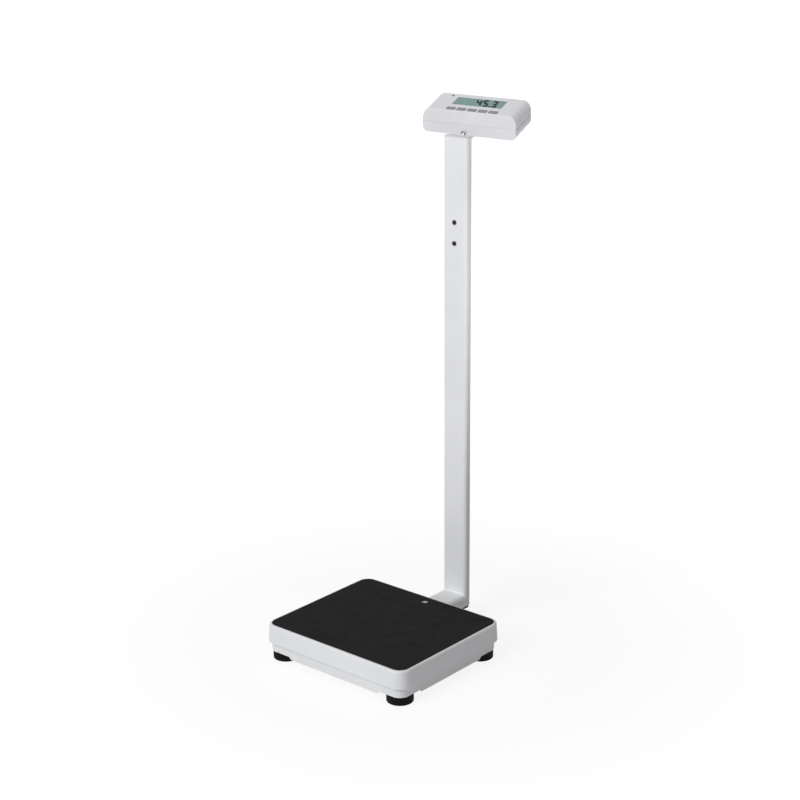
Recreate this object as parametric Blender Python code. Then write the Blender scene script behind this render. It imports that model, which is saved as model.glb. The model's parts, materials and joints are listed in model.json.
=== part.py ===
"""Electronic column scale: low platform on a load cell, L-shaped column and display head.

Sizes are in metres. They are set in the platform's frame, with its origin on the floor under
the middle of the mat, +X right, +Y back and +Z up. ORIGIN_Y then moves the origin along the
floor to the middle of the whole part.
"""
import math

import bpy
from mathutils import Vector

CLEAR = 0.0003

# Platform
MAT_W = 0.355
MAT_D = 0.3037
MAT_T = 0.0027
MAT_R = 0.021
MAT_TOP = 0.077
COVER_RIM = 0.0078
COVER_LIP = 0.0006
COVER_WALL = 0.003
COVER_PLATE = 0.003
COVER_DRAFT = 0.002
COVER_EDGE = 0.005
COVER_BOTTOM = 0.0378
LEVEL_X = 0.0
LEVEL_INSET = 0.0209
LEVEL_HOLE_R = 0.008
LEVEL_CUP_R = 0.0092
LEVEL_CUP_WALL = 0.0012
LEVEL_FLANGE_R = 0.0125
LEVEL_FLANGE_T = 0.0015
LEVEL_DEPTH = 0.008
LEVEL_BASE = 0.0015
LEVEL_SUNK = 0.0035

# Base tray and feet
TRAY_GAP = 0.003
TRAY_WALL = 0.0025
TRAY_TAPER = 0.0015
TRAY_BOTTOM = 0.0126
TRAY_RISE = 0.005
RELIEF_Z = 0.0183
RELIEF_MARGIN_X = 0.0055
RELIEF_MARGIN_Y = 0.0025
RELIEF_OVER = 0.002
RELIEF_SLOPE = 0.0077
TRAY_PLATE_T = 0.003
TRAY_PLATE_UP = 0.0005
FOOT_INSET_X = 0.0273
FOOT_INSET_Y = 0.0278
FOOT_R = 0.027
FOOT_H = 0.0165
FOOT_RIBS = 30
FOOT_RIB_DEPTH = 0.0009
FOOT_CHAMFER = 0.0016
FOOT_SOCKET_DEPTH = 0.009
STUD_R = 0.005
STUD_ABOVE = 0.010
NUT_R = 0.0085
NUT_H = 0.006

# Load cell and spider
CELL_L = 0.130
CELL_D = 0.035
CELL_H = 0.026
CELL_PAD_L = 0.030
CELL_PAD_T = 0.004
CELL_WINDOW_R = 0.0075
CELL_WINDOW_L = 0.030
CELL_BOLT_R = 0.003
CELL_BOLT_HEAD_R = 0.005
CELL_BOLT_HEAD_T = 0.003
CELL_BOLT_Y = 0.010
CELL_BOLT_IN = 0.012
SPIDER_T = 0.008
SPIDER_BAR = 0.040
SPIDER_CROSS = 0.030
SPIDER_NUT_GAP = 0.004
SPIDER_IN = 0.010
PAD_R = 0.012
PAD_IN = 0.015

# Column and its arm
COLUMN_W = 0.060
COLUMN_D = 0.021
COLUMN_R = 0.008
COLUMN_WALL = 0.002
COLUMN_GAP = 0.0703
COLUMN_TOP = 1.0325
COLUMN_FILLET = 0.003
ARM_BOTTOM = 0.0342
ARM_H = 0.030
ARM_REACH = 0.057
ARM_GAP = 0.002
STRIP_T = 0.0027
STRIP_SIDE_IN = 0.004
STRIP_END_IN = 0.001
STRIP_R = 0.003
SADDLE_W = 0.056
SADDLE_END = 0.002
ARM_BOLT_R = 0.003
ARM_BOLT_HEAD_R = 0.0045
ARM_BOLT_HEAD_T = 0.0028
ARM_BOLT_X = 0.009
ARM_BOLT_IN = 0.012
CAP_T = 0.0018
CAP_PLUG = 0.008

# Head
HEAD_W = 0.2346
HEAD_H = 0.0483
HEAD_L = 0.0567
HEAD_TILT = math.radians(28.1)
HEAD_SEAM = 0.0215
HEAD_TOP_R = 0.0203
HEAD_BOTTOM_R = 0.012
HEAD_WALL = 0.0025
HEAD_EDGE = 0.0015
HEAD_GAP = 0.0217
HEAD_DROP = 0.0032
NOTCH_X = -0.010
NOTCH_W = 0.0152
NOTCH_H = 0.0085
NOTCH_DEPTH = 0.0045
NOTCH_LINER = 0.002
PANEL_X = 0.0047
LCD_W = 0.123
LCD_D = 0.0245
LCD_S = 0.0338
LCD_SINK = 0.0001
LCD_MARGIN = 0.002
LCD_R = 0.001
KEY_COUNT = 5
KEY_W = 0.0215
KEY_D = 0.008
KEY_ROW_OVER = 0.0045
KEY_ROW_SHIFT = 0.0007
KEY_S = 0.0073
KEY_PROUD = 0.0008
KEY_R = 0.0016
KEY_FLANGE = 0.0009
KEY_FLANGE_T = 0.0012
KEY_STEM_R = 0.002
KEY_TRAVEL = 0.0005
LED_X = -0.0722
LED_S = 0.049
LED_R = 0.0022
LED_PROUD = 0.0004
LED_FLANGE = 0.0003
LED_FLANGE_T = 0.001
BOARD_T = 0.0016
BOARD_DEPTH = 0.010
BOARD_IN = 0.0123
BOARD_FRONT = 0.005
BOARD_BACK = 0.046
POST_R = 0.003
POST_IN = 0.0323
POST_S = (0.010, 0.040)
BATTERY_IN = 0.0123
BATTERY_W = 0.079
BATTERY_D = 0.028
BATTERY_H = 0.015
BATTERY_S = 0.031
BATTERY_R = 0.003
DOOR_W = 0.070
DOOR_D = 0.030
DOOR_T = 0.0022
DOOR_R = 0.0015

# Bracket, bolts and cable
BRACKET_W = 0.021
BRACKET_T = 0.003
BRACKET_TAIL = 0.0185
BRACKET_S = 0.050
BOLT_DROP = 0.1696
BOLT_PITCH = 0.0426
BOLT_R = 0.003
BOLT_HEAD_R = 0.00475
BOLT_HEAD_T = 0.003
BOLT_SOCKET_R = 0.0019
BOLT_SOCKET_DEPTH = 0.0016
BOLT_NUT_R = 0.0055
BOLT_NUT_T = 0.0045
SCREW_X = 0.0062
SCREW_S = 0.041
SCREW_R = 0.0014
SCREW_HEAD_R = 0.0032
SCREW_HEAD_T = 0.0022
SCREW_LENGTH = 0.010
BOSS_R = 0.004
BOSS_H = 0.012
CABLE_R = 0.0025
CABLE_X = -0.018
CABLE_BEND = 0.007
CABLE_DROP = 0.030
CABLE_RUN = 0.0124
CABLE_SIDES = 10

# Places that follow from the sizes
COVER_W = MAT_W + 2 * COVER_RIM
COVER_D = MAT_D + 2 * COVER_RIM
COVER_R = MAT_R + COVER_RIM
COVER_TOP = MAT_TOP - COVER_LIP
COVER_ROUND = min(COVER_EDGE, COVER_RIM - COVER_DRAFT - 2 * CLEAR)
PLATE_TOP = MAT_TOP - MAT_T - CLEAR
PLATE_BOTTOM = PLATE_TOP - COVER_PLATE
LEVEL_Y = MAT_D / 2 - LEVEL_INSET
TRAY_W = COVER_W - 2 * (COVER_WALL + TRAY_GAP)
TRAY_D = COVER_D - 2 * (COVER_WALL + TRAY_GAP)
TRAY_R = COVER_R - COVER_WALL - TRAY_GAP
TRAY_TOP = COVER_BOTTOM + TRAY_RISE
TRAY_PLATE_Z = RELIEF_Z + TRAY_PLATE_UP
TRAY_FLOOR = TRAY_PLATE_Z + TRAY_PLATE_T
FOOT_X = TRAY_W / 2 - FOOT_INSET_X
FOOT_Y = TRAY_D / 2 - FOOT_INSET_Y
NUT_TOP = TRAY_FLOOR + CLEAR + NUT_H
STUD_BOTTOM = FOOT_H - FOOT_SOCKET_DEPTH + CLEAR
STUD_TOP = NUT_TOP + STUD_ABOVE
CELL_BOTTOM = TRAY_FLOOR + CELL_PAD_T + 2 * CLEAR
CELL_TOP = CELL_BOTTOM + CELL_H
CELL_PAD_X = (CELL_L - CELL_PAD_L) / 2
SPIDER_BOTTOM = CELL_TOP + CELL_PAD_T + 2 * CLEAR
SPIDER_TOP = SPIDER_BOTTOM + SPIDER_T
SPIDER_X = FOOT_X - NUT_R - SPIDER_NUT_GAP - SPIDER_CROSS / 2
SPIDER_Y = FOOT_Y - SPIDER_IN
COLUMN_FRONT = COVER_D / 2 + COLUMN_GAP
COLUMN_BACK = COLUMN_FRONT + COLUMN_D
COLUMN_Y = (COLUMN_FRONT + COLUMN_BACK) / 2
ARM_TOP = ARM_BOTTOM + ARM_H
ARM_Z = (ARM_BOTTOM + ARM_TOP) / 2
HEEL_TURN = math.atan2(COLUMN_FILLET + COLUMN_D, COLUMN_FILLET + ARM_H)
ARM_START = TRAY_D / 2 - ARM_REACH
ARM_BOLT_Y = ARM_START + ARM_BOLT_IN
HEAD_Y = COLUMN_BACK + HEAD_GAP
HEAD_Z = COLUMN_TOP - HEAD_DROP
TILT_C = math.cos(HEAD_TILT)
TILT_S = math.sin(HEAD_TILT)
HEAD_BACK = HEAD_Y + HEAD_L * TILT_C
KEY_PITCH = (LCD_W + KEY_ROW_OVER - KEY_W) / (KEY_COUNT - 1)
POST_X = HEAD_W / 2 - POST_IN
BATTERY_X = BATTERY_IN + BATTERY_W / 2 - HEAD_W / 2
BRACKET_Y = COLUMN_BACK + CLEAR
CABLE_EXIT = HEAD_Z - CABLE_DROP
CABLE_END_Y = HEAD_Y + CABLE_RUN
BOLT_Z = (COLUMN_TOP - BOLT_DROP, COLUMN_TOP - BOLT_DROP - BOLT_PITCH)
CABLE_END_S = (CABLE_RUN - CABLE_R - (BOARD_DEPTH + BOARD_T) * TILT_S) / TILT_C
CABLE_END_Z = HEAD_Z + HEAD_H + CABLE_END_S * TILT_S - (BOARD_DEPTH + BOARD_T) * TILT_C - CLEAR
ORIGIN_Y = (HEAD_BACK - COVER_D / 2) / 2


def clear_scene():
    for old in list(bpy.data.objects):
        bpy.data.objects.remove(old, do_unlink=True)


def material(name, colour, roughness, metallic=0.0):
    mat = bpy.data.materials.new(name)
    mat.use_nodes = True
    shader = mat.node_tree.nodes["Principled BSDF"]
    shader.inputs["Base Color"].default_value = (*colour, 1.0)
    shader.inputs["Roughness"].default_value = roughness
    shader.inputs["Metallic"].default_value = metallic
    mat.diffuse_color = (*colour, 1.0)
    return mat


def solid(name, verts, faces, mat=None, origin=(0.0, 0.0, 0.0), smooth=False):
    """Add one closed body, given in the platform's frame, with its origin at a chosen point."""
    base = Vector(origin)
    mesh = bpy.data.meshes.new(name)
    mesh.from_pydata([tuple(Vector(v) - base) for v in verts], [], faces)
    mesh.validate()
    obj = bpy.data.objects.new(name, mesh)
    bpy.context.scene.collection.objects.link(obj)
    obj.location = base - Vector((0.0, ORIGIN_Y, 0.0))
    if mat is not None:
        mesh.materials.append(mat)
    if smooth:
        round_shading(obj)
    return obj


def round_shading(obj, angle=32.0):
    obj.data.polygons.foreach_set("use_smooth", [True] * len(obj.data.polygons))
    obj.data.set_sharp_from_angle(angle=math.radians(angle))


def loft(rings):
    """Faces of a body through rings of equal count, capped at both ends."""
    count = len(rings[0])
    verts = [point for ring in rings for point in ring]
    faces = []
    for k in range(len(rings) - 1):
        low = k * count
        high = low + count
        for i in range(count):
            j = (i + 1) % count
            faces.append((low + i, low + j, high + j, high + i))
    faces.append(tuple(reversed(range(count))))
    faces.append(tuple(range(len(verts) - count, len(verts))))
    return verts, faces


def loop_loft(rings):
    """Faces of a body through rings that run round and back to the first, with a hole through it."""
    count = len(rings[0])
    total = len(rings)
    verts = [point for ring in rings for point in ring]
    faces = []
    for k in range(total):
        low = k * count
        high = ((k + 1) % total) * count
        for i in range(count):
            j = (i + 1) % count
            faces.append((low + i, low + j, high + j, high + i))
    return verts, faces


def rounded(width, depth, radius, steps=6):
    """Counter-clockwise outline of a rectangle with round corners, round the origin."""
    points = []
    for k, (sx, sy) in enumerate(((1, 1), (-1, 1), (-1, -1), (1, -1))):
        cx = sx * (width / 2 - radius)
        cy = sy * (depth / 2 - radius)
        for i in range(steps + 1):
            turn = math.pi / 2 * (k + i / steps)
            points.append((cx + radius * math.cos(turn), cy + radius * math.sin(turn)))
    return points


def circle(radius, sides, phase=0.0):
    turns = [2 * math.pi * i / sides + phase for i in range(sides)]
    return [(radius * math.cos(t), radius * math.sin(t)) for t in turns]


def level_ring(outline, z, x=0.0, y=0.0):
    return [(px + x, py + y, z) for px, py in outline]


def slab(name, outline, low, high, mat=None, x=0.0, y=0.0, smooth=False):
    rings = [level_ring(outline, low, x, y), level_ring(outline, high, x, y)]
    return solid(name, *loft(rings), mat, (x, y, low), smooth)


def rectangle(x0, x1, y0, y1):
    return [(x0, y0), (x1, y0), (x1, y1), (x0, y1)]


def turned(profile, sides, at, phase=0.0):
    """Rings of a turned body: profile is (radius, height) and at(x, y, height) places a point."""
    return [[at(px, py, height) for px, py in circle(radius, sides, phase)] for radius, height in profile]


def upright(x, y):
    return lambda px, py, height: (x + px, y + py, height)


def backward(x, z):
    return lambda px, py, height: (x + px, height, z - py)


def rod(name, radius, low, high, at, sides=16, mat=None):
    rings = turned([(radius, low), (radius, high)], sides, at, math.pi / sides)
    return solid(name, *loft(rings), mat)


def combine(obj, other, operation):
    step = obj.modifiers.new(operation.lower(), "BOOLEAN")
    step.operation = operation
    step.solver = "EXACT"
    step.object = other
    graph = bpy.context.evaluated_depsgraph_get()
    result = bpy.data.meshes.new_from_object(obj.evaluated_get(graph))
    obj.modifiers.clear()
    spent = obj.data
    label = spent.name
    obj.data = result
    bpy.data.meshes.remove(spent)
    result.name = label
    bpy.data.objects.remove(other, do_unlink=True)


def cut(obj, *cutters):
    for cutter in cutters:
        combine(obj, cutter, "DIFFERENCE")


def join(obj, *extras):
    for extra in extras:
        combine(obj, extra, "UNION")


def base_tray(mat):
    low_w = TRAY_W - 2 * TRAY_TAPER
    low_d = TRAY_D - 2 * TRAY_TAPER
    inner_w = low_w - 2 * TRAY_WALL
    inner_d = low_d - 2 * TRAY_WALL
    inner_r = TRAY_R - TRAY_TAPER - TRAY_WALL
    inner = rounded(inner_w, inner_d, inner_r)
    outer_low = rounded(low_w, low_d, TRAY_R - TRAY_TAPER)
    outer_high = rounded(TRAY_W, TRAY_D, TRAY_R)
    rings = [
        level_ring(inner, TRAY_PLATE_Z),
        level_ring(inner, TRAY_BOTTOM),
        level_ring(outer_low, TRAY_BOTTOM),
        level_ring(outer_high, COVER_BOTTOM),
        level_ring(outer_high, TRAY_TOP),
        level_ring(inner, TRAY_TOP),
        level_ring(inner, TRAY_FLOOR),
    ]
    tray = solid("base_tray", *loft(rings), mat)
    for sx in (-1, 1):
        for sy in (-1, 1):
            at = upright(sx * FOOT_X, sy * FOOT_Y)
            cut(tray, relief_cutter(sx, sy))
            cut(tray, rod("stud_hole", STUD_R + CLEAR, TRAY_BOTTOM, TRAY_TOP, at))
    for sy in (-1, 1):
        at = upright(-CELL_PAD_X, sy * CELL_BOLT_Y)
        cut(tray, rod("bolt_hole", CELL_BOLT_R + CLEAR, TRAY_BOTTOM, TRAY_TOP, at))
    for sx in (-1, 1):
        at = upright(sx * ARM_BOLT_X, ARM_BOLT_Y)
        cut(tray, rod("bolt_hole", ARM_BOLT_R + CLEAR, TRAY_BOTTOM, TRAY_TOP, at))
    half = COLUMN_W / 2 + ARM_GAP
    gap = rectangle(-half, half, TRAY_D / 2 - TRAY_WALL - TRAY_TAPER - CLEAR, TRAY_D / 2 + ARM_GAP)
    cut(tray, slab("arm_notch", gap, ARM_BOTTOM - CLEAR, TRAY_TOP + ARM_GAP))
    return tray


def relief_cutter(sx, sy):
    """The wedge that lifts the tray's lower edge over one foot."""
    near_x = FOOT_X - FOOT_R - RELIEF_MARGIN_X
    near_y = FOOT_Y - FOOT_R - RELIEF_MARGIN_Y
    far_x = TRAY_W / 2 + RELIEF_SLOPE
    far_y = TRAY_D / 2 + RELIEF_SLOPE
    deep = TRAY_BOTTOM - RELIEF_OVER
    rings = []
    for z, grow in ((deep, RELIEF_SLOPE), (RELIEF_Z, 0.0)):
        corners = rectangle(near_x - grow, far_x, near_y - grow, far_y)
        ring = [(sx * px, sy * py, z) for px, py in corners]
        rings.append(ring if sx * sy > 0 else ring[::-1])
    return solid("relief", *loft(rings))


def ribbed(radius):
    points = []
    for i in range(2 * FOOT_RIBS):
        turn = math.pi * i / FOOT_RIBS
        reach = radius - FOOT_RIB_DEPTH * (i % 2)
        points.append((reach * math.cos(turn), reach * math.sin(turn)))
    return points


def foot_wheel(tag, x, y, mat):
    inner = circle(STUD_R + CLEAR, 2 * FOOT_RIBS)
    floor = FOOT_H - FOOT_SOCKET_DEPTH
    outer = ribbed(FOOT_R)
    sole = ribbed(FOOT_R - FOOT_CHAMFER)
    rings = [
        level_ring(sole, 0.0, x, y),
        level_ring(outer, FOOT_CHAMFER, x, y),
        level_ring(outer, FOOT_H - FOOT_CHAMFER, x, y),
        level_ring(sole, FOOT_H, x, y),
        level_ring(inner, FOOT_H, x, y),
        level_ring(inner, floor, x, y),
    ]
    return solid(f"foot_wheel_{tag}", *loft(rings), mat, (x, y, 0.0))


def foot_stud(tag, x, y, mat):
    tip = STUD_R / 5
    profile = [(STUD_R, STUD_BOTTOM), (STUD_R, STUD_TOP - tip), (STUD_R - tip, STUD_TOP)]
    rings = turned(profile, 16, upright(x, y))
    return solid(f"foot_stud_{tag}", *loft(rings), mat, (x, y, STUD_BOTTOM), True)


def hexagon(radius):
    """A hexagon of 12 points, so that it pairs with a 12-sided bore."""
    corners = circle(radius, 6)
    points = []
    for i in range(6):
        here = corners[i]
        after = corners[(i + 1) % 6]
        points.append(here)
        points.append(((here[0] + after[0]) / 2, (here[1] + after[1]) / 2))
    return points


def hex_nut(name, radius, bore, low, high, at, mat):
    outer = hexagon(radius)
    inner = circle(bore, 12)
    shapes = ((inner, low), (outer, low), (outer, high), (inner, high))
    rings = [[at(px, py, height) for px, py in outline] for outline, height in shapes]
    return solid(name, *loop_loft(rings), mat, at(0.0, 0.0, low))


def feet(black, zinc):
    for fb, sy in (("front", -1), ("back", 1)):
        for lr, sx in (("left", -1), ("right", 1)):
            tag = f"{fb}_{lr}"
            x = sx * FOOT_X
            y = sy * FOOT_Y
            low = TRAY_FLOOR + CLEAR
            hex_nut(f"foot_nut_{tag}", NUT_R, STUD_R + CLEAR, low, NUT_TOP, upright(x, y), zinc)
            foot_stud(tag, x, y, zinc)
            foot_wheel(tag, x, y, black)


def cell_spacer(name, x, low, mat):
    outline = rectangle(-CELL_PAD_L / 2, CELL_PAD_L / 2, -CELL_D / 2, CELL_D / 2)
    block = slab(name, outline, low, low + CELL_PAD_T, mat, x)
    for sy in (-1, 1):
        at = upright(x, sy * CELL_BOLT_Y)
        cut(block, rod("hole", CELL_BOLT_R + CLEAR, low - CLEAR, low + CELL_PAD_T + CLEAR, at))
    return block


def load_cell(mat):
    outline = rectangle(-CELL_L / 2, CELL_L / 2, -CELL_D / 2, CELL_D / 2)
    cell = slab("load_cell", outline, CELL_BOTTOM, CELL_TOP, mat)
    middle = (CELL_BOTTOM + CELL_TOP) / 2
    reach = CELL_D / 2 + CLEAR
    half = CELL_WINDOW_L / 2 - CELL_WINDOW_R
    ends = rounded(2 * (half + CELL_WINDOW_R), 2 * CELL_WINDOW_R, CELL_WINDOW_R * 0.999, 8)
    rings = [[(px, y, middle - pz) for px, pz in ends] for y in (-reach, reach)]
    cut(cell, solid("window", *loft(rings)))
    for sx in (-1, 1):
        for sy in (-1, 1):
            at = upright(sx * CELL_PAD_X, sy * CELL_BOLT_Y)
            cut(cell, rod("hole", CELL_BOLT_R + CLEAR, CELL_BOTTOM - CLEAR, CELL_TOP + CLEAR, at))
    return cell


def bolt(name, head_r, head_t, shank_r, seat, tip, at, mat, sides=12):
    """A bolt whose head starts at seat and points away from tip, along the axis that at gives."""
    away = 1.0 if seat > tip else -1.0
    end = shank_r / 5
    profile = [
        (shank_r - end, tip),
        (shank_r, tip + away * end),
        (shank_r, seat),
        (head_r, seat),
        (head_r, seat + away * head_t * 0.7),
        (head_r * 0.85, seat + away * head_t),
        (BOLT_SOCKET_R, seat + away * head_t),
        (BOLT_SOCKET_R, seat + away * (head_t - BOLT_SOCKET_DEPTH)),
    ]
    if away < 0:
        profile = profile[::-1]
    return solid(name, *loft(turned(profile, sides, at)), mat, at(0.0, 0.0, seat), True)


def cell_bolts(mat):
    for side, sy in (("front", -1), ("back", 1)):
        at = upright(-CELL_PAD_X, sy * CELL_BOLT_Y)
        seat = TRAY_PLATE_Z - CLEAR
        tip = CELL_BOTTOM + CELL_BOLT_IN
        bolt(f"cell_bolt_fixed_{side}", CELL_BOLT_HEAD_R, CELL_BOLT_HEAD_T, CELL_BOLT_R, seat, tip, at, mat)
        at = upright(CELL_PAD_X, sy * CELL_BOLT_Y)
        seat = SPIDER_TOP + CLEAR
        tip = CELL_TOP - CELL_BOLT_IN
        bolt(f"cell_bolt_live_{side}", CELL_BOLT_HEAD_R, CELL_BOLT_HEAD_T, CELL_BOLT_R, seat, tip, at, mat)


def spider(mat):
    inner = SPIDER_X - SPIDER_CROSS / 2
    outer = SPIDER_X + SPIDER_CROSS / 2
    bar = SPIDER_BAR / 2
    outline = [
        (-outer, -SPIDER_Y), (-inner, -SPIDER_Y), (-inner, -bar), (inner, -bar),
        (inner, -SPIDER_Y), (outer, -SPIDER_Y), (outer, SPIDER_Y), (inner, SPIDER_Y),
        (inner, bar), (-inner, bar), (-inner, SPIDER_Y), (-outer, SPIDER_Y),
    ]
    frame = slab("spider", outline, SPIDER_BOTTOM, SPIDER_TOP, mat)
    for sy in (-1, 1):
        at = upright(CELL_PAD_X, sy * CELL_BOLT_Y)
        cut(frame, rod("hole", CELL_BOLT_R + CLEAR, SPIDER_BOTTOM - CLEAR, SPIDER_TOP + CLEAR, at))
    return frame


def support_pads(mat):
    low = SPIDER_TOP + CLEAR
    high = PLATE_BOTTOM - CLEAR
    for fb, sy in (("front", -1), ("back", 1)):
        for lr, sx in (("left", -1), ("right", 1)):
            at = upright(sx * SPIDER_X, sy * (SPIDER_Y - PAD_IN))
            rings = turned([(PAD_R, low), (PAD_R, high)], 20, at)
            solid(f"support_pad_{fb}_{lr}", *loft(rings), mat, at(0.0, 0.0, low), True)


def platform_cover(mat):
    rings = []
    high = COVER_TOP - COVER_ROUND

    def size(z, inset):
        lean = COVER_DRAFT * (z - COVER_BOTTOM) / (high - COVER_BOTTOM)
        inset += min(lean, COVER_DRAFT)
        return level_ring(rounded(COVER_W - 2 * inset, COVER_D - 2 * inset, COVER_R - inset, 8), z)

    rings.append(size(PLATE_BOTTOM, COVER_WALL))
    rings.append(size(COVER_BOTTOM, COVER_WALL))
    rings.append(size(COVER_BOTTOM, 0.0))
    for i in range(6):
        turn = math.pi / 2 * i / 5
        drop = COVER_ROUND * (1 - math.sin(turn))
        rings.append(size(COVER_TOP - drop, COVER_ROUND * (1 - math.cos(turn))))
    pocket = rounded(MAT_W + 2 * CLEAR, MAT_D + 2 * CLEAR, MAT_R + CLEAR, 8)
    rings.append(level_ring(pocket, COVER_TOP))
    rings.append(level_ring(pocket, PLATE_TOP))
    cover = solid("platform_cover", *loft(rings), mat)
    half = COLUMN_W / 2 + ARM_GAP
    gap = rectangle(-half, half, COVER_D / 2 - 2 * COVER_EDGE, COVER_D / 2 + ARM_GAP)
    cut(cover, slab("arm_notch", gap, COVER_BOTTOM - ARM_GAP, ARM_TOP + ARM_GAP))
    at = upright(LEVEL_X, LEVEL_Y)
    cut(cover, rod("level_hole", LEVEL_CUP_R + CLEAR, PLATE_BOTTOM - CLEAR, MAT_TOP, at, 32))
    round_shading(cover)
    return cover


def platform_mat(mat):
    low = PLATE_TOP + CLEAR
    edge = MAT_T / 4
    outline = rounded(MAT_W, MAT_D, MAT_R, 8)
    inset = rounded(MAT_W - 2 * edge, MAT_D - 2 * edge, MAT_R - edge, 8)
    rings = [level_ring(outline, low), level_ring(outline, MAT_TOP - edge), level_ring(inset, MAT_TOP)]
    sheet = solid("platform_mat", *loft(rings), mat)
    at = upright(LEVEL_X, LEVEL_Y)
    cut(sheet, rod("level_hole", LEVEL_HOLE_R, low - CLEAR, MAT_TOP + CLEAR, at, 32))
    return sheet


def level_cup(mat):
    inner = LEVEL_CUP_R - LEVEL_CUP_WALL
    low = PLATE_TOP - LEVEL_DEPTH
    flange_top = PLATE_BOTTOM - CLEAR
    profile = [
        (LEVEL_CUP_R, low),
        (LEVEL_CUP_R, flange_top - LEVEL_FLANGE_T),
        (LEVEL_FLANGE_R, flange_top - LEVEL_FLANGE_T),
        (LEVEL_FLANGE_R, flange_top),
        (LEVEL_CUP_R, flange_top),
        (LEVEL_CUP_R, PLATE_TOP),
        (inner, PLATE_TOP),
        (inner, low + LEVEL_BASE),
    ]
    rings = turned(profile, 32, upright(LEVEL_X, LEVEL_Y))
    return solid("level_cup", *loft(rings), mat, (LEVEL_X, LEVEL_Y, low), True)


def level_vial(mat):
    radius = LEVEL_CUP_R - LEVEL_CUP_WALL - CLEAR
    low = PLATE_TOP - LEVEL_DEPTH + LEVEL_BASE + CLEAR
    edge = radius / 12
    top = PLATE_TOP - LEVEL_SUNK
    profile = [(radius, low), (radius, top - edge), (radius - edge, top)]
    rings = turned(profile, 32, upright(LEVEL_X, LEVEL_Y))
    return solid("level_vial", *loft(rings), mat, (LEVEL_X, LEVEL_Y, low), True)


def column_ring(place, inset):
    """Outline of the tube at one place: ('arm', y), ('bend', angle) or ('up', z)."""
    kind, value = place
    width = COLUMN_W - 2 * inset
    depth = (ARM_H if kind == "arm" else COLUMN_D) - 2 * inset
    outline = rounded(width, depth, COLUMN_R - inset, 5)
    if kind == "arm":
        return [(px, value, ARM_Z - pd) for px, pd in outline]
    if kind == "up":
        return [(px, COLUMN_Y + pd, value) for px, pd in outline]
    near = COLUMN_FILLET + inset
    low = (COLUMN_FILLET + ARM_H - inset) / math.cos(value)
    rear = (COLUMN_FILLET + COLUMN_D - inset) / max(math.sin(value), CLEAR)
    far = min(low, rear)
    ring = []
    for px, pd in outline:
        reach = near + (pd / depth + 0.5) * (far - near)
        y = COLUMN_FRONT - COLUMN_FILLET + reach * math.sin(value)
        z = ARM_TOP + COLUMN_FILLET - reach * math.cos(value)
        ring.append((px, y, z))
    return ring


def column(mat):
    """One flat tube: the arm under the platform, a bend with a square heel, and the column."""
    places = [("arm", ARM_START)]
    places += [("bend", HEEL_TURN * i / 5) for i in range(5)]
    places += [("bend", HEEL_TURN + (math.pi / 2 - HEEL_TURN) * i / 4) for i in range(4)]
    places += [("up", COLUMN_TOP)]
    outer = [column_ring(place, 0.0) for place in places]
    inner = [column_ring(place, COLUMN_WALL) for place in places]
    tube = solid("column", *loop_loft(outer + inner[::-1]), mat)
    for sx in (-1, 1):
        at = upright(sx * ARM_BOLT_X, ARM_BOLT_Y)
        cut(tube, rod("hole", ARM_BOLT_R + CLEAR, ARM_BOTTOM - CLEAR, ARM_TOP + CLEAR, at))
    for z in BOLT_Z:
        at = backward(0.0, z)
        cut(tube, rod("hole", BOLT_R + CLEAR, COLUMN_FRONT - CLEAR, COLUMN_BACK + CLEAR, at))
    at = backward(CABLE_X, CABLE_EXIT)
    cut(tube, rod("cable_hole", CABLE_R + CLEAR, COLUMN_Y, COLUMN_BACK + CLEAR, at))
    round_shading(tube)
    return tube


def column_cap(mat):
    seat = COLUMN_TOP + CLEAR
    edge = CAP_T / 2
    inset = COLUMN_WALL + CLEAR
    plug = rounded(COLUMN_W - 2 * inset, COLUMN_D - 2 * inset, COLUMN_R - inset, 5)
    full = rounded(COLUMN_W, COLUMN_D, COLUMN_R, 5)
    top = rounded(COLUMN_W - 2 * edge, COLUMN_D - 2 * edge, COLUMN_R - edge, 5)
    shapes = ((plug, COLUMN_TOP - CAP_PLUG), (plug, seat), (full, seat), (full, seat + CAP_T - edge))
    rings = [level_ring(outline, z, 0.0, COLUMN_Y) for outline, z in shapes]
    rings.append(level_ring(top, seat + CAP_T, 0.0, COLUMN_Y))
    return solid("column_cap", *loft(rings), mat, (0.0, COLUMN_Y, seat), True)


def arm_strip(mat):
    high = ARM_BOTTOM - CLEAR
    start = TRAY_D / 2 + ARM_GAP
    depth = COLUMN_BACK - STRIP_END_IN - start
    outline = rounded(COLUMN_W - 2 * STRIP_SIDE_IN, depth, STRIP_R, 3)
    return slab("arm_strip", outline, high - STRIP_T, high, mat, 0.0, start + depth / 2)


def arm_saddle(mat):
    start = ARM_START + SADDLE_END
    end = TRAY_D / 2 - TRAY_TAPER - TRAY_WALL - SADDLE_END
    low = TRAY_FLOOR + CLEAR
    high = ARM_BOTTOM - CLEAR
    block = slab("arm_saddle", rectangle(-SADDLE_W / 2, SADDLE_W / 2, start, end), low, high, mat)
    for sx in (-1, 1):
        at = upright(sx * ARM_BOLT_X, ARM_BOLT_Y)
        cut(block, rod("hole", ARM_BOLT_R + CLEAR, low - CLEAR, high + CLEAR, at))
    return block


def arm_bolts(mat):
    for side, sx in (("left", -1), ("right", 1)):
        at = upright(sx * ARM_BOLT_X, ARM_BOLT_Y)
        seat = ARM_TOP + CLEAR
        bolt(f"arm_bolt_{side}", ARM_BOLT_HEAD_R, ARM_BOLT_HEAD_T, ARM_BOLT_R, seat, TRAY_PLATE_Z, at, mat)


def on_floor(x=0.0, s=0.0):
    """Placer on the head's underside: s runs up its slope and height is square to it."""
    def at(px, py, height):
        y = HEAD_Y + (s + py) * TILT_C - height * TILT_S
        z = HEAD_Z + (s + py) * TILT_S + height * TILT_C
        return (x + px, y, z)
    return at


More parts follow.
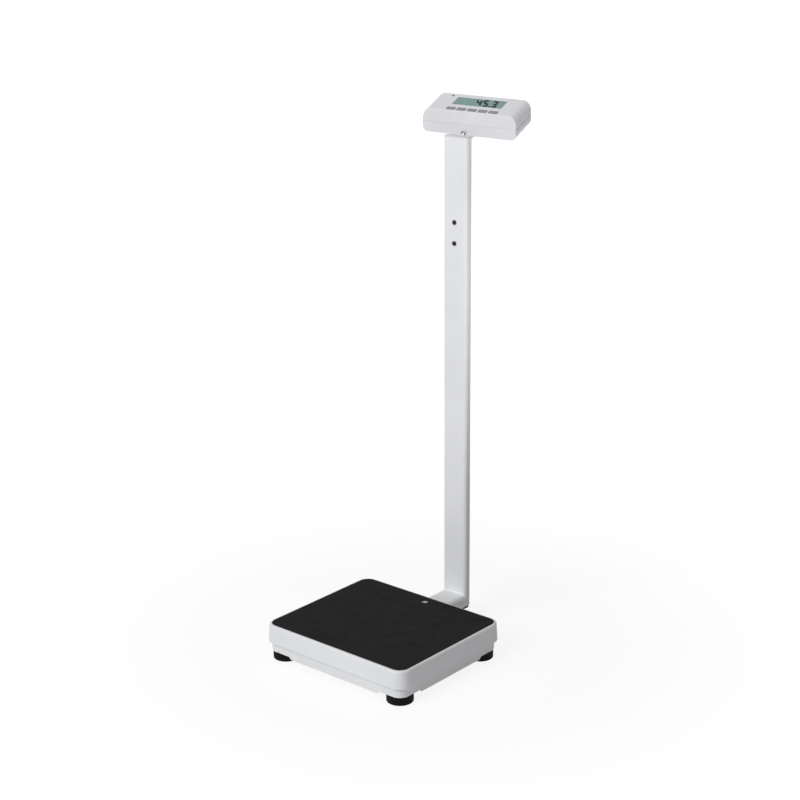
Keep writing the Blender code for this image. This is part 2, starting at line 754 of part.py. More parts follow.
def on_panel(x=0.0, s=0.0):
    """Placer on the head's sloping top, from its front edge."""
    floor = on_floor(x, s)

    def at(px, py, height):
        x_at, y_at, z_at = floor(px, py, height)
        return (x_at, y_at, z_at + HEAD_H)
    return at


def plate(name, outline, low, high, at, mat=None):
    rings = [[at(px, py, height) for px, py in outline] for height in (low, high)]
    return solid(name, *loft(rings), mat, at(0.0, 0.0, low))


def slope_z(y, height):
    """Height above the floor of a line that runs along the head's underside, at one depth."""
    s = (y - HEAD_Y + height * TILT_S) / TILT_C
    return HEAD_Z + s * TILT_S + height * TILT_C


def head_bracket(mat):
    tail = BOLT_Z[1] - BRACKET_TAIL
    back = BRACKET_Y + BRACKET_T
    upper = -CLEAR
    lower = -CLEAR - BRACKET_T
    tip = on_floor(0.0, BRACKET_S)
    profile = [
        (BRACKET_Y, tail),
        (back, tail),
        (back, slope_z(back, lower)),
        tip(0.0, 0.0, lower)[1:],
        tip(0.0, 0.0, upper)[1:],
        (BRACKET_Y, slope_z(BRACKET_Y, upper)),
    ]
    rings = [[(x, y, z) for y, z in profile] for x in (-BRACKET_W / 2, BRACKET_W / 2)]
    strap = solid("head_bracket", *loft(rings), mat)
    for z in BOLT_Z:
        cut(strap, rod("hole", BOLT_R + CLEAR, BRACKET_Y - CLEAR, back + CLEAR, backward(0.0, z)))
    for sx in (-1, 1):
        at = on_floor(sx * SCREW_X, SCREW_S)
        cut(strap, rod("hole", SCREW_R + CLEAR, lower - CLEAR, 0.0, at, 12))
    return strap


def bracket_fixings(dark, zinc):
    for place, z in zip(("upper", "lower"), BOLT_Z):
        at = backward(0.0, z)
        seat = COLUMN_FRONT - CLEAR
        nut = BRACKET_Y + BRACKET_T + CLEAR
        tip = nut + BOLT_NUT_T + BOLT_R / 2
        bolt(f"bracket_bolt_{place}", BOLT_HEAD_R, BOLT_HEAD_T, BOLT_R, seat, tip, at, dark, 20)
        hex_nut(f"bracket_nut_{place}", BOLT_NUT_R, BOLT_R + CLEAR, nut, nut + BOLT_NUT_T, at, zinc)


def head_screws(mat):
    seat = -2 * CLEAR - BRACKET_T
    for side, sx in (("left", -1), ("right", 1)):
        at = on_floor(sx * SCREW_X, SCREW_S)
        bolt(f"head_screw_{side}", SCREW_HEAD_R, SCREW_HEAD_T, SCREW_R, seat, SCREW_LENGTH, at, mat)


def shell_outline(half, seam, far, radius, steps=7):
    """Half of the head's end view, from the seam round two corners and back to the seam."""
    up = 1.0 if far > seam else -1.0
    points = [(half, seam)]
    for i in range(steps + 1):
        turn = math.pi / 2 * i / steps
        points.append((half - radius * (1 - math.cos(turn)), far - up * radius * (1 - math.sin(turn))))
    for i in range(steps + 1):
        turn = math.pi / 2 * i / steps
        points.append((radius * (1 - math.sin(turn)) - half, far - up * radius * (1 - math.cos(turn))))
    points.append((-half, seam))
    return points if up < 0 else points[::-1]


def head_ring(outline, s):
    return [(x, HEAD_Y + s * TILT_C, HEAD_Z + s * TILT_S + v) for x, v in outline]


def head_shell(name, seam, far, radius, mat):
    """One hollow half of the head, open at the seam, with its front and back edges rounded."""
    up = 1.0 if far > seam else -1.0
    rings = []
    for i in range(5):
        turn = math.pi / 2 * i / 4
        inset = HEAD_EDGE * (1 - math.sin(turn))
        outline = shell_outline(HEAD_W / 2 - inset, seam, far - up * inset, radius - inset)
        rings.append((HEAD_EDGE * (1 - math.cos(turn)), outline))
    rings += [(HEAD_L - s, outline) for s, outline in rings[::-1]]
    body = solid(name, *loft([head_ring(outline, s) for s, outline in rings]), mat)
    wall = HEAD_WALL / TILT_C
    room = shell_outline(HEAD_W / 2 - HEAD_WALL, seam - up * HEAD_WALL, far - up * wall, radius - HEAD_WALL)
    cut(body, solid("room", *loft([head_ring(room, wall), head_ring(room, HEAD_L - wall)])))
    return body


def head_block(x0, x1, s0, s1, v0, v1):
    outline = rectangle(x0, x1, v0, v1)[::-1]
    return solid("block", *loft([head_ring(outline, s0), head_ring(outline, s1)]))


def head_lower_housing(mat):
    body = head_shell("head_lower_housing", HEAD_SEAM - CLEAR / 2, 0.0, HEAD_BOTTOM_R, mat)
    half = NOTCH_W / 2
    wall = HEAD_WALL / TILT_C
    deep = wall + NOTCH_DEPTH
    left = NOTCH_X - half
    right = NOTCH_X + half
    rim = NOTCH_LINER
    join(body, head_block(left - rim, right + rim, wall / 2, deep + rim, wall / 2, NOTCH_H + rim))
    for sx in (-1, 1):
        at = on_floor(sx * SCREW_X, SCREW_S)
        join(body, rod("boss", BOSS_R, HEAD_WALL / 2, BOSS_H, at, 20))
        cut(body, rod("hole", SCREW_R + CLEAR, -HEAD_WALL, SCREW_LENGTH + CLEAR, at, 12))
    cut(body, head_block(left, right, -wall, deep, -wall, NOTCH_H))
    opening = rounded(DOOR_W + 2 * CLEAR, DOOR_D + 2 * CLEAR, DOOR_R + CLEAR, 3)
    cut(body, plate("opening", opening, -HEAD_WALL, 2 * HEAD_WALL, on_floor(BATTERY_X, BATTERY_S)))
    at = upright(CABLE_X, CABLE_END_Y)
    cut(body, rod("cable_hole", CABLE_R + CLEAR, HEAD_Z, HEAD_Z + HEAD_SEAM, at))
    round_shading(body)
    return body


def head_upper_housing(mat):
    body = head_shell("head_upper_housing", HEAD_SEAM + CLEAR / 2, HEAD_H, HEAD_TOP_R, mat)
    for sx in (-1, 1):
        for s in POST_S:
            at = on_panel(sx * POST_X, s)
            join(body, rod("post", POST_R, CLEAR - BOARD_DEPTH, -HEAD_WALL / 2, at))
    window = rounded(LCD_W + 2 * CLEAR, LCD_D + 2 * CLEAR, LCD_R + CLEAR, 3)
    cut(body, plate("opening", window, -2 * HEAD_WALL, HEAD_WALL, on_panel(PANEL_X, LCD_S)))
    hole = rounded(KEY_W + 2 * CLEAR, KEY_D + 2 * CLEAR, KEY_R + CLEAR, 4)
    for x in key_places():
        cut(body, plate("opening", hole, -2 * HEAD_WALL, HEAD_WALL, on_panel(x, KEY_S)))
    cut(body, rod("led_hole", LED_R + CLEAR, -2 * HEAD_WALL, HEAD_WALL, on_panel(LED_X, LED_S)))
    round_shading(body)
    return body


def key_places():
    first = PANEL_X - KEY_ROW_SHIFT - KEY_PITCH * (KEY_COUNT - 1) / 2
    return [first + KEY_PITCH * i for i in range(KEY_COUNT)]


def keys(mat):
    shelf = -HEAD_WALL - CLEAR
    under = shelf - KEY_FLANGE_T
    foot = KEY_TRAVEL + CLEAR - BOARD_DEPTH
    edge = KEY_PROUD / 2
    stem = rounded(2 * KEY_STEM_R, 2 * KEY_STEM_R, KEY_STEM_R * 0.98, 4)
    flange = rounded(KEY_W + 2 * KEY_FLANGE, KEY_D + 2 * KEY_FLANGE, KEY_R, 4)
    cap = rounded(KEY_W, KEY_D, KEY_R, 4)
    top = rounded(KEY_W - 2 * edge, KEY_D - 2 * edge, KEY_R - edge, 4)
    shapes = ((stem, foot), (stem, under), (flange, under), (flange, shelf), (cap, shelf),
              (cap, KEY_PROUD - edge), (top, KEY_PROUD))
    for i, x in enumerate(key_places()):
        at = on_panel(x, KEY_S)
        rings = [[at(px, py, height) for px, py in outline] for outline, height in shapes]
        solid(f"key_{i + 1}", *loft(rings), mat, at(0.0, 0.0, 0.0))


def display(glass, lcd, board_mat, led_mat):
    at = on_panel(PANEL_X, LCD_S)
    plate("lcd_window", rounded(LCD_W, LCD_D, LCD_R, 3), -HEAD_WALL, -LCD_SINK, at, glass)
    module = rectangle(-LCD_W / 2 - LCD_MARGIN, LCD_W / 2 + LCD_MARGIN,
                       -LCD_D / 2 - LCD_MARGIN, LCD_D / 2 + LCD_MARGIN)
    plate("lcd_panel", module, CLEAR - BOARD_DEPTH, -HEAD_WALL - CLEAR, at, lcd)
    half = HEAD_W / 2 - BOARD_IN
    outline = rectangle(-half, half, BOARD_FRONT, BOARD_BACK)
    plate("main_board", outline, -BOARD_DEPTH - BOARD_T, -BOARD_DEPTH, on_panel(), board_mat)
    seat = -HEAD_WALL - CLEAR
    profile = [
        (LED_R + LED_FLANGE, seat - LED_FLANGE_T),
        (LED_R + LED_FLANGE, seat),
        (LED_R, seat),
        (LED_R, 0.0),
        (LED_R * 0.7, LED_PROUD),
    ]
    at = on_panel(LED_X, LED_S)
    solid("status_led", *loft(turned(profile, 16, at)), led_mat, at(0.0, 0.0, 0.0), True)


def battery(pack_mat, door_mat):
    low = HEAD_WALL + CLEAR
    at = on_floor(BATTERY_X, BATTERY_S)
    plate("battery_pack", rounded(BATTERY_W, BATTERY_D, BATTERY_R, 4), low, low + BATTERY_H, at, pack_mat)
    outline = rounded(DOOR_W, DOOR_D, DOOR_R, 3)
    rings = [[at(px, py, height) for px, py in outline] for height in (0.0, DOOR_T)]
    hinge = at(0.0, -DOOR_D / 2, 0.0)
    solid("battery_door", *loft(rings), door_mat, hinge)


def route(points, radius, steps=6):
    """Places and directions along a line of (y, z) points whose corners are rounded."""
    marks = []
    for i, point in enumerate(points):
        here = Vector(point)
        if i in (0, len(points) - 1):
            other = Vector(points[1] if i == 0 else points[-2])
            way = (other - here if i == 0 else here - other).normalized()
            marks.append((here, way))
            continue
        come = (here - Vector(points[i - 1])).normalized()
        leave = (Vector(points[i + 1]) - here).normalized()
        turn = math.atan2(come.x * leave.y - come.y * leave.x, come.dot(leave))
        trim = radius * math.tan(abs(turn) / 2)
        side = Vector((-come.y, come.x)) * math.copysign(1.0, turn)
        centre = here - come * trim + side * radius
        for k in range(steps + 1):
            part = abs(turn) * k / steps
            place = centre - side * radius * math.cos(part) + come * radius * math.sin(part)
            marks.append((place, come * math.cos(part) + side * math.sin(part)))
    return marks


def signal_cable(mat):
    start_z = (CELL_BOTTOM + CELL_TOP) / 2
    start_y = CELL_D / 2 + CLEAR
    ease = (ARM_START - start_y) / 3
    points = [
        (start_y, start_z),
        (start_y + ease, start_z),
        (ARM_START - ease / 2, ARM_Z),
        (COLUMN_Y, ARM_Z),
        (COLUMN_Y, CABLE_EXIT),
        (CABLE_END_Y, CABLE_EXIT),
        (CABLE_END_Y, CABLE_END_Z),
    ]
    ring = circle(CABLE_R, CABLE_SIDES)
    rings = []
    for place, way in route(points, CABLE_BEND):
        rings.append([(CABLE_X + a, place.x + way.y * b, place.y - way.x * b) for a, b in ring])
    return solid("signal_cable", *loft(rings), mat, (CABLE_X, start_y, start_z), True)


def main():
    clear_scene()
    white = material("white_paint", (0.72, 0.73, 0.74), 0.35)
    housing = material("white_abs", (0.70, 0.70, 0.73), 0.38)
    steel = material("zinc_steel", (0.55, 0.56, 0.58), 0.35, 1.0)
    dark = material("black_oxide_steel", (0.05, 0.05, 0.055), 0.4, 0.8)
    alloy = material("aluminium", (0.75, 0.76, 0.78), 0.4, 1.0)
    rubber = material("black_rubber", (0.022, 0.022, 0.024), 0.8)
    black = material("black_plastic", (0.012, 0.012, 0.014), 0.5)
    grey = material("grey_key", (0.30, 0.30, 0.33), 0.5)
    glass = material("clear_window", (0.60, 0.70, 0.66), 0.1)
    lcd = material("lcd", (0.20, 0.33, 0.29), 0.3)
    vial = material("vial", (0.55, 0.70, 0.35), 0.1)
    board = material("circuit_board", (0.02, 0.16, 0.06), 0.5)
    base_tray(white)
    feet(black, steel)
    cell_spacer("load_cell_spacer_lower", -CELL_PAD_X, TRAY_FLOOR + CLEAR, steel)
    load_cell(alloy)
    cell_spacer("load_cell_spacer_upper", CELL_PAD_X, CELL_TOP + CLEAR, steel)
    cell_bolts(dark)
    spider(alloy)
    support_pads(rubber)
    platform_cover(white)
    platform_mat(rubber)
    level_cup(housing)
    level_vial(vial)
    arm_saddle(steel)
    column(white)
    column_cap(white)
    arm_strip(black)
    arm_bolts(steel)
    head_bracket(white)
    bracket_fixings(dark, steel)
    head_screws(steel)
    head_lower_housing(housing)
    head_upper_housing(housing)
    keys(grey)
    display(glass, lcd, board, black)
    battery(black, housing)
    signal_cable(black)


main()
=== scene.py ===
# %% [markdown]
# # An electronic column scale
# A low platform stands on four screw feet, an L-shaped flat tube rises behind it, and a small
# display head looks down at the person on the platform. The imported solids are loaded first, as a
# fixed frame in metres. Each visible piece is then made again with finer edges and its own finish,
# and it rides on the body that carries it, so that every joint still moves.

# %% Load the frame
import json
import math

import bmesh
import bpy
from mathutils import Matrix, Vector


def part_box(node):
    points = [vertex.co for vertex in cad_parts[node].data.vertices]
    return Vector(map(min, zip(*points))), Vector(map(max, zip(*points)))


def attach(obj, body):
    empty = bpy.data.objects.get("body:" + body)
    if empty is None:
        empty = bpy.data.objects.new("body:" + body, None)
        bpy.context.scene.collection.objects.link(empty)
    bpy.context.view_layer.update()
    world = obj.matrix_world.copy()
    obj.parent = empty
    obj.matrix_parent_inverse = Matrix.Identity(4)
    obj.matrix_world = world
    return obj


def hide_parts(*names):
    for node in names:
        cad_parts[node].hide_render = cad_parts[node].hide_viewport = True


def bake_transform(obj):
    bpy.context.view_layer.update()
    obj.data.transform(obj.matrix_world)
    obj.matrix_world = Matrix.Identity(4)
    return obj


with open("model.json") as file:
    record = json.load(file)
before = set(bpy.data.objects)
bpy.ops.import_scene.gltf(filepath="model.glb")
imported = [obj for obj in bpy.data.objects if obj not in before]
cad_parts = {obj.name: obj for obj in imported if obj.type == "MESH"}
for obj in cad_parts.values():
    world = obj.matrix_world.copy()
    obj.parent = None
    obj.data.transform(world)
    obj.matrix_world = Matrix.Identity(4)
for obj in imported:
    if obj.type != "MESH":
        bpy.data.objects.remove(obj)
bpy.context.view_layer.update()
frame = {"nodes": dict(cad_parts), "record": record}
NODES = frame["nodes"]
MM = 0.001

# %% [markdown]
# ## Camera
# The photograph was taken from the front right, a little above the display, with a long lens. The
# place, the aim and the focal length were worked out from the platform's corners, the feet and the
# column's edges. A camera that tracks an empty would be easier to move, but a long lens shows a tenth
# of a degree, so the fitted angles are set directly, as a matrix, from a point 80.2 mm below the mat.

# %% Camera
LOW_MAT, HIGH_MAT = (Vector(corner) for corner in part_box("platform_mat"))
MAT_MIDDLE = (LOW_MAT + HIGH_MAT) / 2
SENSOR = 36.0
FOCAL_PIXELS = 1711.35
FRAME_PIXELS = 800
AZIMUTH = math.radians(40.550)
ELEVATION = math.radians(17.084)
ROLL = math.radians(-0.446)
DISTANCE = 3.49785
SIDE_STEP = (-0.03398, -0.52652)
FIT_BELOW_MAT = 80.2 * MM
FAR_CLIP = 50.0


def photo_camera():
    back = Vector((math.sin(AZIMUTH) * math.cos(ELEVATION), -math.cos(AZIMUTH) * math.cos(ELEVATION),
                   math.sin(ELEVATION)))
    level = Vector((math.cos(AZIMUTH), math.sin(AZIMUTH), 0.0))
    rise = back.cross(level)
    right = level * math.cos(ROLL) + rise * math.sin(ROLL)
    up = rise * math.cos(ROLL) - level * math.sin(ROLL)
    place = back * DISTANCE - right * SIDE_STEP[0] - up * SIDE_STEP[1]
    place += Vector((MAT_MIDDLE.x, MAT_MIDDLE.y, HIGH_MAT.z - FIT_BELOW_MAT))
    lens = bpy.data.cameras.new("photo_camera")
    lens.sensor_fit = "HORIZONTAL"
    lens.sensor_width = SENSOR
    lens.lens = SENSOR * FOCAL_PIXELS / FRAME_PIXELS
    lens.clip_end = FAR_CLIP
    camera = bpy.data.objects.new("photo_camera", lens)
    bpy.context.scene.collection.objects.link(camera)
    turn = Matrix((right, up, back)).transposed().to_4x4()
    camera.matrix_world = Matrix.Translation(place) @ turn
    bpy.context.scene.camera = camera
    return camera


camera = photo_camera()
print("camera at", [round(v, 4) for v in camera.location], "lens", round(camera.data.lens, 2), "mm")

# %% [markdown]
# ## Colours and nodes
# Colours are written as sRGB hex, as a paint chart gives them, and one function turns them into the
# linear values that a shader works with. One more function adds a shader node with its settings and
# its links, so that each finish below reads as a short list of what it is made of.

# %% Helpers for finishes
def linear(code):
    """Linear RGBA of an sRGB hex colour such as #DADBDD."""
    parts = [int(code[i:i + 2], 16) / 255 for i in (1, 3, 5)]
    return [p / 12.92 if p <= 0.04045 else ((p + 0.055) / 1.055) ** 2.4 for p in parts] + [1.0]


def add(tree, kind, inputs=None, **settings):
    """Add a node. inputs maps a socket to a value, or to a (node, output) pair that it links to."""
    node = tree.nodes.new(kind)
    for name, value in settings.items():
        setattr(node, name, value)
    for socket, value in (inputs or {}).items():
        if isinstance(value, tuple) and isinstance(value[0], bpy.types.Node):
            tree.links.new(value[0].outputs[value[1]], node.inputs[socket])
        else:
            node.inputs[socket].default_value = value
    return node


def start(name):
    """A new material with a Principled shader, and object coordinates in metres to draw on it."""
    material = bpy.data.materials.new(name)
    material.use_nodes = True
    tree = material.node_tree
    shader = tree.nodes["Principled BSDF"]
    coords = add(tree, "ShaderNodeTexCoord")
    return material, tree, shader, (coords, "Object")


def stops(node, *pairs):
    """Set a colour ramp's stops from (position, hex colour) pairs."""
    ramp = node.color_ramp
    while len(ramp.elements) < len(pairs):
        ramp.elements.new(1.0)
    for element, (position, code) in zip(ramp.elements, pairs):
        element.position = position
        element.color = linear(code)


def per(size_mm):
    """Texture scale that gives features of about this size, in millimetres."""
    return 1000.0 / size_mm


print("colours: mid grey #808080 is", round(linear("#808080")[0], 3), "in linear light")

# %% [markdown]
# ## White surround
# The object stands in a white studio. A white world would do it in one step, but it would also light
# the object from all sides and flatten it. So the surround is white only for the camera and for
# reflections, and as a light it is a dim sky.

# %% White surround
WHITE = "#FFFFFF"
SKY_FOR_LIGHT = 0.12


def ray_mask(tree):
    """1 for camera, mirror and glass rays, which see the white surround, and 0 for the others."""
    path = add(tree, "ShaderNodeLightPath")
    glossy = add(tree, "ShaderNodeMath", {0: (path, "Is Camera Ray"), 1: (path, "Is Glossy Ray")},
                 operation="MAXIMUM")
    return add(tree, "ShaderNodeMath", {0: (glossy, "Value"), 1: (path, "Is Transmission Ray")},
               operation="MAXIMUM")


def white_surround():
    world = bpy.data.worlds.new("studio")
    bpy.context.scene.world = world
    world.use_nodes = True
    tree = world.node_tree
    tree.nodes.clear()
    mask = ray_mask(tree)
    sky = add(tree, "ShaderNodeBackground", {"Color": linear(WHITE), "Strength": SKY_FOR_LIGHT})
    seen = add(tree, "ShaderNodeBackground", {"Color": linear(WHITE), "Strength": 1.0})
    mix = add(tree, "ShaderNodeMixShader", {0: (mask, "Value"), 1: (sky, "Background"),
                                            2: (seen, "Background")})
    add(tree, "ShaderNodeOutputWorld", {"Surface": (mix, "Shader")})


bpy.context.scene.view_settings.view_transform = "Standard"
white_surround()
print("surround: white to look at,", SKY_FOR_LIGHT, "of that as light")

# %% [markdown]
# ## Paper floor
# The floor is a sweep of white paper. A shadow catcher would also do, but then nothing would bounce
# off the paper. This floor is grey paper to light, and for the camera it glows, a little less near the
# object, so that the shadow shows there and fades out to white.

# %% Paper floor
FLOOR_REACH, FLOOR_DROP = 40.0, 0.2 * MM
FLOOR_GLOW = 1.08
FADE_FROM, FADE_TO = 0.4, 1.4
GLOW_NEAR, GLOW_FAR = 0.82, 1.0


def studio_floor():
    mesh = bpy.data.meshes.new("floor")
    corners = [(sx * FLOOR_REACH, sy * FLOOR_REACH, -FLOOR_DROP)
               for sx, sy in ((-1, -1), (1, -1), (1, 1), (-1, 1))]
    mesh.from_pydata(corners, [], [(0, 1, 2, 3)])
    floor = bpy.data.objects.new("floor", mesh)
    bpy.context.scene.collection.objects.link(floor)
    material = bpy.data.materials.new("white_paper_sweep")
    material.use_nodes = True
    tree = material.node_tree
    tree.nodes.clear()
    mask = ray_mask(tree)
    paper = add(tree, "ShaderNodeBsdfDiffuse", {"Color": linear("#DDDDDD")})
    glow = add(tree, "ShaderNodeEmission", {"Color": linear(WHITE), "Strength": FLOOR_GLOW})
    coords = add(tree, "ShaderNodeTexCoord")
    away = add(tree, "ShaderNodeVectorMath", {0: (coords, "Object")}, operation="LENGTH")
    fade = add(tree, "ShaderNodeMapRange", {"Value": (away, "Value"),
                                            "From Min": FADE_FROM, "From Max": FADE_TO,
                                            "To Min": GLOW_NEAR, "To Max": GLOW_FAR})
    share = add(tree, "ShaderNodeMath", {0: (mask, "Value"), 1: (fade, "Result")}, operation="MULTIPLY")
    mix = add(tree, "ShaderNodeMixShader", {0: (share, "Value"), 1: (paper, "BSDF"),
                                            2: (glow, "Emission")})
    add(tree, "ShaderNodeOutputMaterial", {"Surface": (mix, "Shader")})
    mesh.materials.append(material)
    return floor


floor = studio_floor()
print("floor:", 2 * FLOOR_REACH, "m wide, in", floor.data.materials[0].name)

# %% [markdown]
# ## Lamps
# One large soft box at the front, a weak one low on the right, a small gridded one that lifts the
# head's end, and one above. An image of a studio could light the object too, but four lamps are easy
# to follow and to move.

# %% Lamps
MIDDLE_OF_SCALE = (0.0, 0.0, 0.5)


def soft_box(name, place, aim, size, watts, spread=180.0):
    """A square soft box. A spread under 180 degrees is a grid on its front that narrows the beam."""
    lamp = bpy.data.lights.new(name, "AREA")
    lamp.shape = "SQUARE"
    lamp.size = size
    lamp.energy = watts
    lamp.spread = math.radians(spread)
    obj = bpy.data.objects.new(name, lamp)
    bpy.context.scene.collection.objects.link(obj)
    obj.location = place
    obj.rotation_euler = (Vector(aim) - Vector(place)).to_track_quat("-Z", "Y").to_euler()
    return obj


soft_box("key_front", (-0.60, -4.40, 3.00), MIDDLE_OF_SCALE, 2.9, 196.0)
soft_box("fill_right", (2.2, -0.4, 0.35), (0.0, 0.0, 0.3), 0.9, 4.8)
soft_box("head_fill", (0.95, 0.2, 0.25), (0.05, 0.2, 0.95), 0.4, 0.7, 60.0)
soft_box("top_box", (-0.3, 0.0, 3.4), MIDDLE_OF_SCALE, 1.6, 13.0)
watts = sum(lamp.energy for lamp in bpy.data.lights)
print("lamps:", len(bpy.data.lights), "soft boxes,", round(watts, 1), "W")

# %% [markdown]
# ## White powder coat
# The tray, the pan and the tube are sheet steel under white polyester powder coat. The powder melts
# and levels in an oven, which leaves a smooth skin with a faint orange peel about 2 mm wide. It is
# drawn 4 mm wide here, because the real one is finer than a pixel. The sheen is satin. Most finishes
# below share this recipe: a colour that clouds a little, a grain that varies the gloss, and a shallow
# relief, so one function makes them.

# %% White powder coat
RELIEF_STRENGTH = 0.3
CLOUD_FROM, CLOUD_TO = 0.30, 0.70


def finish(name, dark, light, cloud_mm, grain_mm, gloss, relief_mm, stretch=(1.0, 1.0, 1.0), **sockets):
    """A finish with a clouded colour, a gloss that varies with its grain, and a fine relief."""
    material, tree, shader, place = start(name)
    grid = add(tree, "ShaderNodeMapping", {"Vector": place, "Scale": stretch})
    cloud = add(tree, "ShaderNodeTexNoise", {"Vector": (grid, "Vector"), "Scale": per(cloud_mm),
                                             "Detail": 3.0})
    tint = add(tree, "ShaderNodeValToRGB", {"Fac": (cloud, "Fac")})
    stops(tint, (CLOUD_FROM, dark), (CLOUD_TO, light))
    grain = add(tree, "ShaderNodeTexNoise", {"Vector": (grid, "Vector"), "Scale": per(grain_mm),
                                             "Detail": 2.0})
    sheen = add(tree, "ShaderNodeMapRange", {"Value": (grain, "Fac"), "To Min": gloss[0],
                                             "To Max": gloss[1]})
    relief = add(tree, "ShaderNodeBump", {"Height": (grain, "Fac"), "Strength": RELIEF_STRENGTH,
                                          "Distance": relief_mm * MM})
    tree.links.new(tint.outputs["Color"], shader.inputs["Base Color"])
    tree.links.new(sheen.outputs["Result"], shader.inputs["Roughness"])
    tree.links.new(relief.outputs["Normal"], shader.inputs["Normal"])
    for socket, value in sockets.items():
        shader.inputs[socket.replace("_", " ")].default_value = value
    print("finish:", material.name)
    return material


# To the eye: a clean white with a soft, slightly uneven gleam.
powder_coat = finish("white_powder_coat_on_steel", "#E3E4E6", "#E8E9EB", 90.0, 4.0, (0.36, 0.44), 0.03,
                     Specular_IOR_Level=0.35)

# %% [markdown]
# ## White moulded ABS
# The two halves of the display head are injection moulded. The tool was spark eroded, which leaves a
# fine even matt grain. It is about 0.3 mm wide on the real shell and is drawn 1.2 mm wide, because a
# finer one would not show. A picture of it would need unwrapped faces, so a noise in metres draws it.

# %% White moulded ABS
# To the eye: a shade greyer than the paint, and even.
white_abs = finish("white_abs_moulded_in_eroded_tool", "#D8D8DC", "#DDDDE1", 60.0, 1.2, (0.34, 0.46), 0.012,
                   Specular_IOR_Level=0.35)

# %% [markdown]
# ## Black rubber mat
# The mat is calendered rubber sheet with a leather-like pebble, so that shoes grip it. The rollers and
# the talc leave it a little cloudy. The pebble is drawn 3 mm wide, about twice its real size. It could
# be moved in the mesh, at the cost of hundreds of thousands of faces, so it is a relief in the shading.
# The pads under the cover are moulded of the same rubber in a smooth tool.

# %% Black rubber mat
# To the eye: a dry, dark grey without a highlight.
mat_rubber = finish("black_calendered_rubber", "#1A1A1C", "#232325", 38.0, 3.0, (0.66, 0.88), 0.10,
                    Specular_IOR_Level=0.06)
# To the eye: as dark, with a faint sheen.
soft_rubber = finish("black_moulded_rubber", "#1B1B1D", "#232326", 14.0, 1.5, (0.60, 0.80), 0.03)

# %% [markdown]
# ## Black moulded nylon
# The foot wheels are glass-filled nylon, tumbled after moulding: dark, with a low sheen. One number
# could set that sheen, but glass near the surface breaks it up, so it varies with the grain. The strip
# under the arm is extruded PVC, so its grain is drawn out along its length.

# %% Black moulded nylon
# To the eye: nearly black, so that only the ribs' edges catch light.
black_nylon = finish("black_glass_filled_nylon", "#0B0B0D", "#131316", 9.0, 1.0, (0.46, 0.62), 0.015,
                     Specular_IOR_Level=0.08)
# To the eye: black with a long, weak gleam.
black_pvc = finish("black_extruded_pvc", "#141416", "#1C1C1F", 30.0, 1.5, (0.50, 0.62), 0.010,
                   (1.0, 0.15, 1.0), Specular_IOR_Level=0.25)

# %% [markdown]
# ## Metals
# Nuts, studs and spacers are steel under bright zinc, which clouds in the bath. The column's
# screws are black-oxide steel, oiled. The load cell and the spider are milled aluminium, so their
# grain is drawn out along the cutter's way. A picture of brushed metal could do this, but a stretched
# noise has no seams and needs no unwrapping.

# %% Metals
# To the eye: a pale grey metal, cloudy in places.
zinc_steel = finish("bright_zinc_plated_steel", "#A9ADB2", "#C4C7CB", 12.0, 0.8, (0.26, 0.40), 0.006,
                    Metallic=1.0)
# To the eye: a dark head with a small oily gleam.
black_steel = finish("oiled_black_oxide_steel", "#202023", "#333337", 5.0, 0.6, (0.30, 0.46), 0.006,
                     Metallic=0.7)
# To the eye: a light metal with fine lines along it.
milled_alloy = finish("milled_aluminium", "#C2C4C7", "#D8DADC", 30.0, 1.0, (0.28, 0.44), 0.010,
                      (0.06, 1.0, 1.0), Metallic=1.0)

# %% [markdown]
# ## Small plastics
# The keys are grey silicone, the cable's jacket is grey PVC, the battery pack wears a shrink sleeve,
# and the level's fluid is a yellow-green oil. The lamp's lens is smoked epoxy. Each could have a recipe
# of its own, but they are small in the picture, so they share the paint's and differ in its numbers.

# %% Small plastics
# To the eye: an even mid grey with a dry sheen.
grey_silicone = finish("grey_moulded_silicone", "#88888E", "#919197", 8.0, 0.8, (0.46, 0.58), 0.008,
                       Specular_IOR_Level=0.25)
# To the eye: a dull darker grey.
grey_pvc = finish("grey_pvc_cable_jacket", "#5A5C5F", "#66686B", 20.0, 0.8, (0.44, 0.56), 0.006)
# To the eye: a glossy blue film with soft creases.
shrink_sleeve = finish("blue_shrink_sleeve", "#1F3A66", "#27467A", 16.0, 2.0, (0.22, 0.34), 0.02)
# To the eye: a black dot, because the lamp is off.
lens_epoxy = finish("smoked_led_epoxy", "#0C0C0E", "#141417", 2.0, 0.5, (0.34, 0.42), 0.001,
                    Specular_IOR_Level=0.2)
# To the eye: an olive disc with a sharp highlight, and a paler bubble.
level_oil = finish("yellow_green_level_oil", "#6E7A34", "#7C8840", 6.0, 2.0, (0.10, 0.16), 0.001,
                   Specular_IOR_Level=0.2)
bubble_film = finish("bubble_in_level_oil", "#9EA86A", "#AEB77E", 3.0, 1.0, (0.06, 0.10), 0.001)

# %% [markdown]
# ## Liquid crystal
# The display is glass over a grey-green reflector, and a segment that is switched on turns dark. Real
# layers that twist light can't be traced here, so glass and segments are matched to how they look
# together behind the window, and neither has a mirror's gloss.

# %% Liquid crystal
# To the eye: black figures on a flat grey-green.
segment_ink = finish("dark_liquid_crystal_segment", "#060807", "#0A0D0C", 3.0, 0.6, (0.30, 0.38), 0.001,
                     Specular_IOR_Level=0.02)
lcd_glass = finish("reflective_lcd_glass", "#75968E", "#7C9E95", 40.0, 0.8, (0.22, 0.30), 0.001,
                   Specular_IOR_Level=0.1)

# %% [markdown]
# ## Clear acrylic and solder mask
# The window over the display is clear acrylic, cast flat and polished. It lets most of the light
# through, so its alpha is low and varies a trifle, as a wiped surface does. The circuit board is
# green solder mask over copper lines on a 5 mm pitch, drawn with a brick pattern. Both are small or
# hidden, so neither needs a picture.

